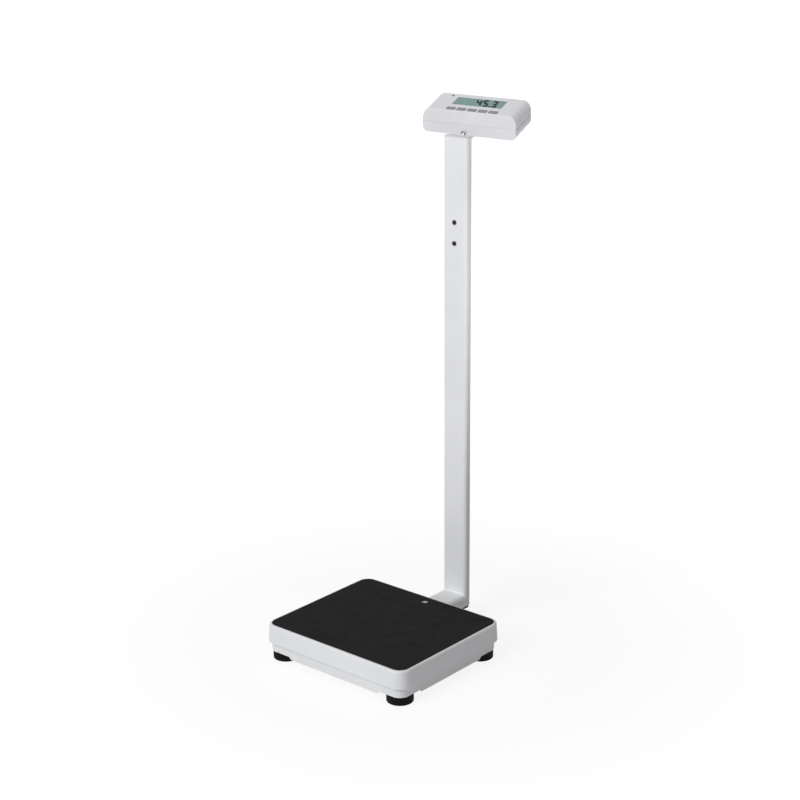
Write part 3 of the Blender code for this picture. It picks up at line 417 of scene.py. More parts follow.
# %% Clear acrylic and solder mask
WIPE_MM, TRACK_MM = 30.0, 5.0
VEIL_LOW, VEIL_HIGH = 0.02, 0.03
# To the eye: almost nothing, with a thin gloss over the figures.
clear_acrylic = finish("clear_cast_acrylic", "#E9F0EE", "#F2F6F5", 25.0, 5.0, (0.05, 0.10), 0.001)
tree = clear_acrylic.node_tree
wipe = add(tree, "ShaderNodeTexNoise", {"Scale": per(WIPE_MM)})
veil = add(tree, "ShaderNodeMapRange", {"Value": (wipe, "Fac"), "To Min": VEIL_LOW, "To Max": VEIL_HIGH})
tree.links.new(veil.outputs["Result"], tree.nodes["Principled BSDF"].inputs["Alpha"])

# To the eye: dark green with paler lines.
solder_mask, tree, shader, place = start("green_solder_mask_on_glass_fibre")
lines = add(tree, "ShaderNodeTexBrick", {"Vector": place, "Scale": per(TRACK_MM),
                                         "Color1": linear("#0E4A26"), "Color2": linear("#125530"),
                                         "Mortar": linear("#2C7A4B")})
tree.links.new(lines.outputs["Color"], shader.inputs["Base Color"])
shader.inputs["Roughness"].default_value = 0.35
print("finish:", solder_mask.name)

# %% [markdown]
# ## Placing pieces
# A finished piece rides on the body of the solid that it stands for, takes the material that it is given,
# and shades round below a set angle. A bevel on every edge could do that too, at many more faces.
# Here the normals follow the larger faces instead, so that flats stay flat.

# %% Placing pieces
CLEAR = 0.3 * MM


def span(node):
    """Lowest and highest corners of a CAD node, as vectors."""
    low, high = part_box(node)
    return Vector(low), Vector(high)


def carrier(node):
    """The body that a CAD node belongs to."""
    bodies = frame["record"]["behaviour"]["bodies"]
    return next(body for body, nodes in bodies.items() if node in nodes)


def mesh_object(name, verts, faces):
    """A new object whose faces all look outwards."""
    mesh = bpy.data.meshes.new(name)
    mesh.from_pydata([tuple(v) for v in verts], [], faces)
    work = bmesh.new()
    work.from_mesh(mesh)
    bmesh.ops.recalc_face_normals(work, faces=work.faces)
    work.to_mesh(mesh)
    work.free()
    obj = bpy.data.objects.new(name, mesh)
    bpy.context.scene.collection.objects.link(obj)
    return obj


def place_piece(obj, material, nodes, angle=30.0, bend=None):
    """Finish a piece: shading, material, and the solids that it stands for, which it hides. It rides on the
    body of the first of them. If bend is given, it stays where it is, on no body, and what bend holds is
    not used."""
    mesh = obj.data
    mesh.materials.clear()
    mesh.materials.append(material)
    mesh.polygons.foreach_set("use_smooth", [True] * len(mesh.polygons))
    mesh.set_sharp_from_angle(angle=math.radians(angle))
    flat = obj.modifiers.new("flat_faces_stay_flat", "WEIGHTED_NORMAL")
    flat.keep_sharp = True
    if bend:
        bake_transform(obj)
    else:
        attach(obj, carrier(nodes[0]))
    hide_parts(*nodes)
    print("piece:", obj.name, len(mesh.polygons), "faces for", ", ".join(nodes))
    return obj


MAT_SIZE = HIGH_MAT - LOW_MAT
print("mat:", [round(v / MM, 1) for v in MAT_SIZE], "mm, on the body", carrier("platform_mat"))

# %% [markdown]
# ## Outlines and lofts
# Most pieces are lofts: a row of outlines with equal counts of points, joined by quads. A cube with
# modifiers is quicker for one box, but an outline drawn from sizes gives round corners, leaning walls
# and rolled edges in the same way for every piece.

# %% Outlines and lofts
def loft(rings, loop=False):
    """Verts and faces through rings of equal count. A loop runs back to the first ring, uncapped."""
    count = len(rings[0])
    verts = [point for ring in rings for point in ring]
    faces = []
    for k in range(len(rings) if loop else len(rings) - 1):
        low = k * count
        high = (k + 1) % len(rings) * count
        for i in range(count):
            j = (i + 1) % count
            faces.append((low + i, low + j, high + j, high + i))
    if not loop:
        faces.append(tuple(reversed(range(count))))
        faces.append(tuple(range(len(verts) - count, len(verts))))
    return verts, faces


def rounded(width, depth, radius, steps=14):
    """Outline of a rectangle with round corners, round the origin."""
    points = []
    for k, (sx, sy) in enumerate(((1, 1), (-1, 1), (-1, -1), (1, -1))):
        for i in range(steps + 1):
            turn = math.pi / 2 * (k + i / steps)
            points.append((sx * (width / 2 - radius) + radius * math.cos(turn),
                           sy * (depth / 2 - radius) + radius * math.sin(turn)))
    return points


def flat_ring(outline, z, middle=(0.0, 0.0)):
    """An outline as a level ring."""
    return [(px + middle[0], py + middle[1], z) for px, py in outline]


def quarter(steps):
    """Pairs (inset share, drop share) round a quarter circle, from its side to its top."""
    turns = [math.pi / 2 * i / steps for i in range(steps + 1)]
    return [(1 - math.cos(t), 1 - math.sin(t)) for t in turns]


print("outlines:", len(rounded(MAT_SIZE.x, MAT_SIZE.y, MM)), "points round a rectangle")

# %% [markdown]
# ## Cutters
# Holes and gaps are carved with solids that are taken away from a piece, as a drill or a punch would.
# They could stay as modifiers, but a carved mesh can be measured and exported at once. Placers are
# small functions that set a flat outline upright or level in the scene.

# %% Cutters
ROD_SIDES = 48


def carve(obj, *cutters, how="DIFFERENCE"):
    """Cut other solids out of obj, or join them to it, and drop them."""
    for cutter in cutters:
        step = obj.modifiers.new("carve", "BOOLEAN")
        step.operation = how
        step.solver = "EXACT"
        step.object = cutter
        graph = bpy.context.evaluated_depsgraph_get()
        result = bpy.data.meshes.new_from_object(obj.evaluated_get(graph))
        obj.modifiers.clear()
        obj.data = result
        bpy.data.objects.remove(cutter, do_unlink=True)
    return obj


def upright(x, y):
    """Placer on a level plane, with height upwards."""
    return lambda px, py, height: (x + px, y + py, height)


def circle(radius, sides, phase=0.0):
    """Points round a circle. phase turns the first one."""
    turns = [2 * math.pi * i / sides + phase for i in range(sides)]
    return [(radius * math.cos(t), radius * math.sin(t)) for t in turns]


def turned(profile, sides, at, phase=0.0):
    """Rings of a turned solid: profile is (radius, height), and at(x, y, height) places a point."""
    return [[at(px, py, height) for px, py in circle(radius, sides, phase)]
            for radius, height in profile]


def rod(radius, low, high, at):
    """A round cutter between two heights."""
    profile = [(radius, low), (radius, high)]
    return mesh_object("cutter", *loft(turned(profile, ROD_SIDES, at, math.pi / ROD_SIDES)))


def slab(x0, x1, y0, y1, z0, z1):
    """A square cutter between two corners."""
    outline = [(x0, y0), (x1, y0), (x1, y1), (x0, y1)]
    return mesh_object("cutter", *loft([flat_ring(outline, z0), flat_ring(outline, z1)]))


print("cutters: a rod's flats lie", round(1 - math.cos(math.pi / ROD_SIDES), 4), "of its radius inside it")

# %% [markdown]
# ## Platform cover
# The cover is a shallow pan of pressed steel, turned upside down over the load cell. Its sides lean in
# by two millimetres, its top edge is rolled round, and its lower edge is hemmed. A pocket a little
# under 3 mm deep takes the mat. The rear wall has a gap for the arm and the plate has a hole for the
# level. A box with a bevel would be quicker, but it can't have a pocket, a lean and a hem at once, so
# the whole section is drawn as one row of rings: down the inside, round the hem and over the top.

# %% Platform cover: sizes
COVER_LOW, COVER_HIGH = span("platform_cover")
MIDDLE = (MAT_MIDDLE.x, MAT_MIDDLE.y)
COVER_SIZE = COVER_HIGH - COVER_LOW
COVER_R, COVER_DRAFT, COVER_ROUND, COVER_WALL = 28.8 * MM, 2.0 * MM, 5.0 * MM, 3.0 * MM
PLATE_T, HEM, LIP = 3.0 * MM, 1.2 * MM, 0.5 * MM
PLATE_TOP = LOW_MAT.z - CLEAR
PLATE_BOTTOM = PLATE_TOP - PLATE_T
MAT_R = 21.0 * MM
LEVEL_LOW, LEVEL_HIGH = span("level_cup")
LEVEL_AT = ((LEVEL_LOW.x + LEVEL_HIGH.x) / 2, (LEVEL_LOW.y + LEVEL_HIGH.y) / 2)
CUP_R = 9.2 * MM
COLUMN_LOW, COLUMN_HIGH = span("column")
ARM_H = 30.0 * MM
ARM_TOP = COLUMN_LOW.z + ARM_H
ARM_GAP, ARM_CUT = 2.0 * MM, 8.0 * MM
ARM_HALF = (COLUMN_HIGH.x - COLUMN_LOW.x) / 2 + ARM_GAP


def cover_ring(z, inset):
    """Outline of the cover at one height, with its draft."""
    share = (z - COVER_LOW.z) / (COVER_SIZE.z - COVER_ROUND)
    inset += COVER_DRAFT * min(1.0, max(0.0, share))
    outline = rounded(COVER_SIZE.x - 2 * inset, COVER_SIZE.y - 2 * inset, COVER_R - inset)
    return flat_ring(outline, z, MIDDLE)


print("cover:", [round(v / MM, 1) for v in COVER_SIZE], "mm")

# %% Platform cover: pan
rings = [cover_ring(PLATE_BOTTOM, COVER_WALL)]
for inset, drop in quarter(4):
    rings.append(cover_ring(COVER_LOW.z + HEM * drop, COVER_WALL - HEM * inset))
for inset, drop in reversed(quarter(4)):
    rings.append(cover_ring(COVER_LOW.z + HEM * drop, HEM * inset))
for inset, drop in quarter(10):
    rings.append(cover_ring(COVER_HIGH.z - COVER_ROUND * drop, COVER_ROUND * inset))
for inset, drop in reversed(quarter(3)):
    grow = 2 * (CLEAR + LIP * (1 - inset))
    pocket = rounded(MAT_SIZE.x + grow, MAT_SIZE.y + grow, MAT_R + grow / 2)
    rings.append(flat_ring(pocket, COVER_HIGH.z - LIP * drop, MIDDLE))
rings.append(flat_ring(pocket, PLATE_TOP, MIDDLE))
cover = mesh_object("pressed_steel_cover", *loft(rings))
arm_gap = slab(-ARM_HALF, ARM_HALF, COVER_HIGH.y - ARM_CUT, COVER_HIGH.y + ARM_GAP,
               COVER_LOW.z - ARM_GAP, ARM_TOP + ARM_GAP)
carve(cover, arm_gap, rod(CUP_R + CLEAR, PLATE_BOTTOM - MM, HIGH_MAT.z, upright(*LEVEL_AT)))
place_piece(cover, powder_coat, ["platform_cover"])

# %% [markdown]
# ## Mat
# The rubber sheet is cut with a round-cornered die and glued into the pocket. Its top edge is eased,
# and a punched hole shows the level. It lies flat and can't move, so it is a loft and not a cloth.

# %% Mat
MAT_EASE = 0.8 * MM
HOLE_R, HOLE_EASE = 8.0 * MM, 0.5 * MM
OVER = 0.1 * MM


def rolled(width, depth, radius, ease, steps, corner=14):
    """Outlines of a rounded rectangle whose edge rolls in by ease, each with its drop from the top."""
    pairs = []
    for inset, drop in quarter(steps):
        shrink = 2 * ease * inset
        outline = rounded(width - shrink, depth - shrink, radius - shrink / 2, corner)
        pairs.append((outline, ease * drop))
    return pairs


rings = [flat_ring(rounded(MAT_SIZE.x, MAT_SIZE.y, MAT_R), LOW_MAT.z, MIDDLE)]
rings += [flat_ring(outline, HIGH_MAT.z - drop, MIDDLE)
          for outline, drop in rolled(MAT_SIZE.x, MAT_SIZE.y, MAT_R, MAT_EASE, 5)]
mat = mesh_object("rubber_mat", *loft(rings))
flare = [(HOLE_R, LOW_MAT.z - MM), (HOLE_R, HIGH_MAT.z - HOLE_EASE),
         (HOLE_R + HOLE_EASE + OVER, HIGH_MAT.z + OVER)]
carve(mat, mesh_object("cutter", *loft(turned(flare, 64, upright(*LEVEL_AT)))))
place_piece(mat, mat_rubber, ["platform_mat"])

# %% [markdown]
# ## Bubble level
# A small round level sits in a white moulded cup under the mat's hole. The vial is a clear cap over
# oil, with a bubble that stays under a ring when the scale stands level. All of it is round, so each
# piece is a profile turned about one axis. Refracting oil would be truer, but it is too small to show.

# %% Bubble level: cup
VIAL_LOW, VIAL_HIGH = span("level_vial")
VIAL_R = (VIAL_HIGH.x - VIAL_LOW.x) / 2
CUP_WALL, CUP_EASE, CUP_FOOT = 1.2 * MM, 0.3 * MM, 0.4 * MM
FLANGE_R, FLANGE_T = 12.5 * MM, 1.5 * MM
flange = PLATE_BOTTOM - CLEAR
profile = [(CUP_R - CUP_FOOT, LEVEL_LOW.z), (CUP_R, LEVEL_LOW.z + CUP_FOOT), (CUP_R, flange - FLANGE_T)]
profile += [(FLANGE_R - CUP_EASE, flange - FLANGE_T), (FLANGE_R, flange - FLANGE_T + CUP_EASE)]
profile += [(FLANGE_R, flange), (CUP_R, flange), (CUP_R, LEVEL_HIGH.z - CUP_EASE)]
profile += [(CUP_R - CUP_EASE, LEVEL_HIGH.z), (CUP_R - CUP_WALL + CUP_EASE, LEVEL_HIGH.z)]
profile += [(CUP_R - CUP_WALL, LEVEL_HIGH.z - CUP_EASE), (CUP_R - CUP_WALL, VIAL_LOW.z - CLEAR)]
cup = mesh_object("moulded_level_cup", *loft(turned(profile, 64, upright(*LEVEL_AT))))
place_piece(cup, white_abs, ["level_cup"])

# %% Bubble level: vial, bubble and ring
DOME, BUBBLE_R, BUBBLE_T = 0.9 * MM, 2.6 * MM, 0.12 * MM
RING_OUTER, RING_INNER = 4.3 * MM, 4.0 * MM
FILM, RING_T = 0.02 * MM, 0.08 * MM


def domed(radius, base, rise, steps):
    """Profile of a low dome, from its edge nearly to its middle."""
    turns = [math.pi / 2 * i / steps for i in range(steps)]
    return [(radius * math.cos(t), base + rise * math.sin(t)) for t in turns]


profile = [(VIAL_R, VIAL_LOW.z)] + domed(VIAL_R, VIAL_HIGH.z - DOME, DOME, 12)
vial = mesh_object("oil_vial", *loft(turned(profile, 64, upright(*LEVEL_AT))))
place_piece(vial, level_oil, ["level_vial"])


def vial_z(radius):
    """Height of the vial's domed top at one distance from its middle."""
    return VIAL_HIGH.z - DOME * (1 - math.sqrt(max(0.0, 1 - (radius / VIAL_R) ** 2)))


profile = [(share * BUBBLE_R, vial_z(share * BUBBLE_R) + BUBBLE_T * (1 - share ** 2) + FILM)
           for share in (1.0, 0.85, 0.6, 0.3, 0.02)]
bubble = mesh_object("level_bubble", *loft(turned(profile, 40, upright(*LEVEL_AT))))
place_piece(bubble, bubble_film, ["level_vial"])
profile = [(reach, vial_z(reach) + lift) for reach, lift in ((RING_OUTER, FILM), (RING_OUTER, RING_T),
                                                             (RING_INNER, RING_T), (RING_INNER, FILM))]
ring = mesh_object("level_ring", *loft(turned(profile, 48, upright(*LEVEL_AT)), True))
place_piece(ring, segment_ink, ["level_vial"])

# %% [markdown]
# ## Tray
# The tray is folded from steel sheet and welded at its corners. It stands inside the cover's rim with
# its sides leaning in, its lower fold is round, and its edge is cut away over each foot so that a hand
# can turn the wheel. The walls are a loft like the cover's. The cut-aways are wedges that are carved
# off, because they cross the fold at a slant.

# %% Tray: sizes and outlines
TRAY_LOW, TRAY_HIGH = span("base_tray")
TRAY_SIZE = TRAY_HIGH - TRAY_LOW
TRAY_R, TRAY_TAPER, TRAY_WALL, TRAY_FOLD = 22.8 * MM, 1.5 * MM, 2.5 * MM, 1.2 * MM
TRAY_PLATE = (18.8 * MM, 21.8 * MM)
RELIEF_Z, RELIEF_SLOPE, RELIEF_OVER = 18.3 * MM, 7.7 * MM, 2.0 * MM
RELIEF_MARGIN = (5.5 * MM, 2.5 * MM)
CORNERS = {f"{end}_{side}": (sx, sy) for end, sy in (("front", -1), ("back", 1))
           for side, sx in (("left", -1), ("right", 1))}
STUD_HOLE_R, TRAY_CUT = 5.3 * MM, 5.0 * MM
WHEEL_LOW, WHEEL_HIGH = span("foot_wheel_back_right")
WHEEL_R = (WHEEL_HIGH.x - WHEEL_LOW.x) / 2
FOOT_X = (WHEEL_LOW.x + WHEEL_HIGH.x) / 2
FOOT_Y = (WHEEL_LOW.y + WHEEL_HIGH.y) / 2 - MIDDLE[1]


def tray_ring(z, inset):
    """Outline of the tray at one height: it tapers below the cover's rim."""
    inset += TRAY_TAPER * max(0.0, (COVER_LOW.z - z) / (COVER_LOW.z - TRAY_LOW.z))
    outline = rounded(TRAY_SIZE.x - 2 * inset, TRAY_SIZE.y - 2 * inset, TRAY_R - inset)
    return flat_ring(outline, z, MIDDLE)


def foot_at(sx, sy):
    """Where a foot's axis meets the floor."""
    return sx * FOOT_X, MIDDLE[1] + sy * FOOT_Y


def relief(sx, sy):
    """The wedge that lifts the tray's lower edge over one foot."""
    rings = []
    for z, grow in ((TRAY_LOW.z - RELIEF_OVER, RELIEF_SLOPE), (RELIEF_Z, 0.0)):
        near_x = FOOT_X - WHEEL_R - RELIEF_MARGIN[0] - grow
        near_y = FOOT_Y - WHEEL_R - RELIEF_MARGIN[1] - grow
        far_x = TRAY_SIZE.x / 2 + RELIEF_SLOPE
        far_y = TRAY_SIZE.y / 2 + RELIEF_SLOPE
        corners = [(near_x, near_y), (far_x, near_y), (far_x, far_y), (near_x, far_y)]
        rings.append([(sx * x, MIDDLE[1] + sy * y, z) for x, y in corners])
    return mesh_object("cutter", *loft(rings))


print("tray:", [round(v / MM, 1) for v in TRAY_SIZE], "mm, feet at", round(FOOT_X / MM, 1), "mm each side")

# %% Tray: walls and cut-aways
deep = TRAY_TAPER + TRAY_WALL
inner = rounded(TRAY_SIZE.x - 2 * deep, TRAY_SIZE.y - 2 * deep, TRAY_R - deep)
rings = [flat_ring(inner, TRAY_PLATE[0], MIDDLE), flat_ring(inner, TRAY_LOW.z, MIDDLE)]
rings += [tray_ring(TRAY_LOW.z + TRAY_FOLD * drop, TRAY_FOLD * inset)
          for inset, drop in reversed(quarter(4))]
rings += [tray_ring(COVER_LOW.z, 0.0), tray_ring(TRAY_HIGH.z, 0.0)]
rings += [flat_ring(inner, TRAY_HIGH.z, MIDDLE), flat_ring(inner, TRAY_PLATE[1], MIDDLE)]
tray = mesh_object("folded_steel_tray", *loft(rings))
for corner in CORNERS.values():
    hole = rod(STUD_HOLE_R, TRAY_LOW.z, TRAY_HIGH.z, upright(*foot_at(*corner)))
    carve(tray, relief(*corner), hole)
carve(tray, slab(-ARM_HALF, ARM_HALF, TRAY_HIGH.y - TRAY_CUT, TRAY_HIGH.y + ARM_GAP,
                 COLUMN_LOW.z - CLEAR, TRAY_HIGH.z + MM))
place_piece(tray, powder_coat, ["base_tray"])

# %% [markdown]
# ## Screw feet
# Each foot is a ribbed nylon wheel on an M10 stud. The ribs are round, as a mould's cutter leaves
# them, and the wheel has a recess in its top face that saves plastic. The stud's thread is a helix of
# 1.5 mm pitch, which is what the joint moves by in one turn. Ribs and thread could be a relief in the
# material, but they show at the edge of the wheel and in the mesh itself, so they are modelled.

# %% Screw feet: outlines
RIBS, RIB_STEPS, RIB_DEPTH = 30, 8, 0.9 * MM
AROUND = RIBS * RIB_STEPS
WHEEL_EASE = 1.6 * MM
STUD_R, STUD_PITCH = 5.0 * MM, 1.5 * MM
THREAD_SHARE, THREAD_STEPS = 0.54, 6


def ribbed(inset, share):
    """Outline of a wheel whose edge waves with round ribs, of which share is left."""
    points = []
    for i in range(AROUND):
        turn = 2 * math.pi * i / AROUND
        reach = WHEEL_R - inset - share * RIB_DEPTH * math.sin(RIBS * turn / 2) ** 2
        points.append((reach * math.cos(turn), reach * math.sin(turn)))
    return points


def threaded(radius, pitch, low, high, at, sides=24):
    """Rings of a rod with a helical thread that runs out at both ends."""
    depth = THREAD_SHARE * pitch
    rings = []
    count = round((high - low) / pitch * THREAD_STEPS)
    for k in range(count + 1):
        z = low + (high - low) * k / count
        ends = min(1.0, (z - low) / pitch, (high - z) / pitch)
        ring = []
        for i in range(sides):
            turn = 2 * math.pi * i / sides
            wave = (z / pitch - i / sides) % 1.0
            reach = radius - depth * (1 - ends * (1 - abs(2 * wave - 1)))
            ring.append(at(reach * math.cos(turn), reach * math.sin(turn), z))
        rings.append(ring)
    return rings


print("feet:", RIBS, "ribs, one every", round(2 * math.pi * WHEEL_R / RIBS / MM, 2), "mm")

# %% Screw feet: wheels and studs
SOLE = ((17.0 * MM, 1.0 * MM), (18.0 * MM, 0.0))
RECESS_T = 1.4 * MM
RECESS = ((22.6 * MM, 0.0), (22.0 * MM, RECESS_T), (11.6 * MM, RECESS_T), (11.0 * MM, 0.0),
          (STUD_HOLE_R, 0.0))
SOCKET_FLOOR = 7.5 * MM


def foot(tag, corner):
    """One wheel, from the hollow in its sole round its ribs to its bore, and the stud in it."""
    middle = foot_at(*corner)
    top = WHEEL_HIGH.z
    rings = [flat_ring(circle(reach, AROUND), z, middle) for reach, z in SOLE]
    edge = [(ribbed(WHEEL_EASE * inset, 1 - inset), WHEEL_EASE * drop) for inset, drop in quarter(4)]
    rings += [flat_ring(outline, drop, middle) for outline, drop in reversed(edge)]
    rings += [flat_ring(outline, top - drop, middle) for outline, drop in edge]
    rings += [flat_ring(circle(reach, AROUND), top - drop, middle) for reach, drop in RECESS]
    rings.append(flat_ring(circle(STUD_HOLE_R, AROUND), SOCKET_FLOOR, middle))
    wheel = mesh_object(f"ribbed_wheel_{tag}", *loft(rings))
    place_piece(wheel, black_nylon, [f"foot_wheel_{tag}"], 40.0)
    low, high = span(f"foot_stud_{tag}")
    turns = threaded(STUD_R, STUD_PITCH, low.z, high.z, upright(*middle))
    stud = mesh_object(f"threaded_stud_{tag}", *loft(turns))
    place_piece(stud, zinc_steel, [f"foot_stud_{tag}"], 25.0)


for tag, corner in CORNERS.items():
    foot(tag, corner)

# %% [markdown]
# ## Column and arm
# One flat tube runs back from the tray, turns up in a tight mitred heel and carries the head. The
# inner corner is round and the outer one is square. A plastic plug closes the top, and a black strip
# under the arm keeps the paint off the floor when the scale is tipped. A curve with a bevel would round
# both corners alike, so the tube's section is placed ring by ring through the heel.

# %% Column and arm: tube
TUBE_D = 21.0 * MM
TUBE_R, TUBE_WALL, TUBE_FILLET = 8.0 * MM, 2.0 * MM, 3.0 * MM
TUBE_W = COLUMN_HIGH.x - COLUMN_LOW.x
TUBE_FRONT = COLUMN_HIGH.y - TUBE_D
TUBE_Y = COLUMN_HIGH.y - TUBE_D / 2
ARM_Z = ARM_TOP - ARM_H / 2
HEEL_TURN = math.atan2(TUBE_FILLET + TUBE_D, TUBE_FILLET + ARM_H)
BOLT_PLACES = ("upper", "lower")
BOLT_Z = [sum(corner.z for corner in span(f"bracket_bolt_{place}")) / 2 for place in BOLT_PLACES]
BOLT_HOLE_R = 3.3 * MM
HEEL_STEPS = 12
ALMOST_ZERO = 0.001


def backward(x, z):
    """Placer on an upright plane across the scale, with height towards the back."""
    return lambda px, py, height: (x + px, height, z - py)


def tube_ring(kind, value, inset):
    """Outline of the tube at a place on the arm, in the bend, or up the column."""
    depth = (ARM_H if kind == "arm" else TUBE_D) - 2 * inset
    outline = rounded(TUBE_W - 2 * inset, depth, TUBE_R - inset, 12)
    if kind == "arm":
        return [(px, value, ARM_Z - pd) for px, pd in outline]
    if kind == "up":
        return [(px, TUBE_Y + pd, value) for px, pd in outline]
    near = TUBE_FILLET + inset
    far = min((TUBE_FILLET + ARM_H - inset) / max(math.cos(value), ALMOST_ZERO),
              (TUBE_FILLET + TUBE_D - inset) / max(math.sin(value), ALMOST_ZERO))
    ring = []
    for px, pd in outline:
        reach = near + (pd / depth + 0.5) * (far - near)
        ring.append((px, TUBE_FRONT - TUBE_FILLET + reach * math.sin(value),
                     ARM_TOP + TUBE_FILLET - reach * math.cos(value)))
    return ring


places = [("arm", COLUMN_LOW.y)]
places += [("bend", HEEL_TURN * i / HEEL_STEPS) for i in range(HEEL_STEPS)]
places += [("bend", HEEL_TURN + (math.pi / 2 - HEEL_TURN) * i / HEEL_STEPS)
           for i in range(HEEL_STEPS + 1)]
places.append(("up", COLUMN_HIGH.z))
skin = [tube_ring(*place, 0.0) for place in places]
bore = [tube_ring(*place, TUBE_WALL) for place in places]
tube = mesh_object("flat_tube_column", *loft(skin + bore[::-1], True))
for z in BOLT_Z:
    carve(tube, rod(BOLT_HOLE_R, TUBE_FRONT - MM, COLUMN_HIGH.y + MM, backward(0.0, z)))
place_piece(tube, powder_coat, ["column"])

# %% Column and arm: plug and strip
CAP_LOW, CAP_HIGH = span("column_cap")
CAP_EASE = 1.2 * MM
inside = 2 * (TUBE_WALL + CLEAR)
plug = rounded(TUBE_W - inside, TUBE_D - inside, TUBE_R - TUBE_WALL)
seat = COLUMN_HIGH.z + CLEAR
at = (0.0, TUBE_Y)
rings = [flat_ring(plug, CAP_LOW.z, at), flat_ring(plug, seat, at)]
rings += [flat_ring(rounded(TUBE_W, TUBE_D, TUBE_R), seat, at)]
rings += [flat_ring(outline, CAP_HIGH.z - drop, at)
          for outline, drop in rolled(TUBE_W, TUBE_D, TUBE_R, CAP_EASE, 6)]
cap = mesh_object("column_plug", *loft(rings))
place_piece(cap, white_abs, ["column_cap"])

STRIP_LOW, STRIP_HIGH = span("arm_strip")
STRIP_EASE, STRIP_R = 0.8 * MM, 3.0 * MM
at = (0.0, (STRIP_LOW.y + STRIP_HIGH.y) / 2)
size = STRIP_HIGH - STRIP_LOW
rings = [flat_ring(outline, STRIP_LOW.z + drop, at)
         for outline, drop in reversed(rolled(size.x, size.y, STRIP_R, STRIP_EASE, 4, 6))]
rings.append(flat_ring(rounded(size.x, size.y, STRIP_R, 6), STRIP_HIGH.z, at))
strip = mesh_object("arm_bumper_strip", *loft(rings))
place_piece(strip, black_pvc, ["arm_strip"])

# %% [markdown]
# ## Display head: where things lie
# The head slopes down towards the person, so its top and its underside are tilted planes. Pieces could
# be built flat and then turned. Here a placer puts each point on the slope instead, so that every mesh
# stays in the frame's own coordinates.

# %% Display head: sizes and placers
SHELL_LOW = span("head_lower_housing")[0]
LID_LOW, LID_HIGH = span("head_upper_housing")
TILT = math.radians(28.1)
TILT_C, TILT_S = math.cos(TILT), math.sin(TILT)
HEAD_W = LID_HIGH.x - LID_LOW.x
HEAD_Y, HEAD_Z = SHELL_LOW.y, SHELL_LOW.z
HEAD_L = (LID_HIGH.y - LID_LOW.y) / TILT_C
HEAD_H = LID_HIGH.z - HEAD_Z - HEAD_L * TILT_S
SEAM = LID_LOW.z - HEAD_Z


def on_floor(x, s):
    """Placer on the head's underside: s runs up its slope and height is square to it."""
    return lambda px, py, height: (x + px, HEAD_Y + (s + py) * TILT_C - height * TILT_S,
                                   HEAD_Z + (s + py) * TILT_S + height * TILT_C)


def on_panel(x, s):
    """Placer on the head's sloping top, from its front edge."""
    floor_at = on_floor(x, s)
    return lambda px, py, height: Vector(floor_at(px, py, height)) + Vector((0.0, 0.0, HEAD_H))


def head_ring(outline, s):
    """The head's end view, or a part of it, moved up the slope by s."""
    return [(x, HEAD_Y + s * TILT_C, HEAD_Z + s * TILT_S + v) for x, v in outline]


def stacked(levels, at):
    """Verts and faces of a loft through (outline, height) pairs, with each point placed by at."""
    return loft([[at(px, py, height) for px, py in outline] for outline, height in levels])


print("head:", round(HEAD_W / MM, 1), "mm wide,", round(HEAD_L / MM, 1), "mm up its slope,",
      round(HEAD_H / MM, 1), "mm high")

# %% [markdown]
# ## Display head: shells
# The head is two moulded shells that meet at a fine seam. In end view its top corners are wide and
# its lower ones tighter, and that section is drawn back and up along a slope. The walls are 2.5 mm.
# A box with a bevel and a solidify modifier would have one radius all round and no seam, so each half
# is a loft of its own end view, hollowed by a smaller one.

# %% Display head: shells
HEAD_EDGE, HEAD_WALL = 1.5 * MM, 2.5 * MM
TOP_R, BOTTOM_R = 20.3 * MM, 12.0 * MM
GROOVE, ROOM_EASE = 0.55 * MM, 0.1 * MM


def shell_outline(half, seam, far, radius, groove, steps=16):
    """Half of the head's end view: from the seam round two corners and back to the seam."""
    up = 1.0 if far > seam else -1.0
    points = [(half - groove, seam), (half, seam + up * groove)]
    bend = [math.pi / 2 * i / steps for i in range(steps + 1)]
    points += [(half - radius * (1 - math.cos(t)), far - up * radius * (1 - math.sin(t))) for t in bend]
    points += [(radius * (1 - math.sin(t)) - half, far - up * radius * (1 - math.cos(t))) for t in bend]
    points += [(-half, seam + up * groove), (groove - half, seam)]
    return points


def head_shell(name, seam, far, radius):
    """One hollow half of the head. Its seam edge is eased, so that the two leave a fine groove."""
    up = 1.0 if far > seam else -1.0
    rings = []
    for inset, drop in reversed(quarter(7)):
        s = HEAD_EDGE * drop
        shift = up * max(0.0, GROOVE - s)
        outline = shell_outline(HEAD_W / 2 - HEAD_EDGE * inset, seam + shift,
                                far - up * HEAD_EDGE * inset, radius - HEAD_EDGE * inset, GROOVE)
        rings.append((s, outline))
    rings += [(HEAD_L - s, outline) for s, outline in reversed(rings)]
    body = mesh_object(name, *loft([head_ring(outline, s) for s, outline in rings]))
    wall = HEAD_WALL / TILT_C
    room = shell_outline(HEAD_W / 2 - HEAD_WALL, seam - up * HEAD_WALL, far - up * wall,
                         radius - HEAD_WALL, ROOM_EASE)
    hollow = loft([head_ring(room, wall), head_ring(room, HEAD_L - wall)])
    return carve(body, mesh_object("cutter", *hollow))


lid = head_shell("moulded_upper_shell", SEAM, HEAD_H, TOP_R)
print("upper shell before its openings:", len(lid.data.polygons), "faces")

# %% [markdown]
# ## Display head: openings in the top
# The upper shell has openings for the window, a lamp and five keys, each with an edge that flares a
# little, as a moulded one does. They could be cut one after another, but a row of boolean cuts in one
# thin wall can leave an opening closed. So all the cutters are joined and cut in a single step.

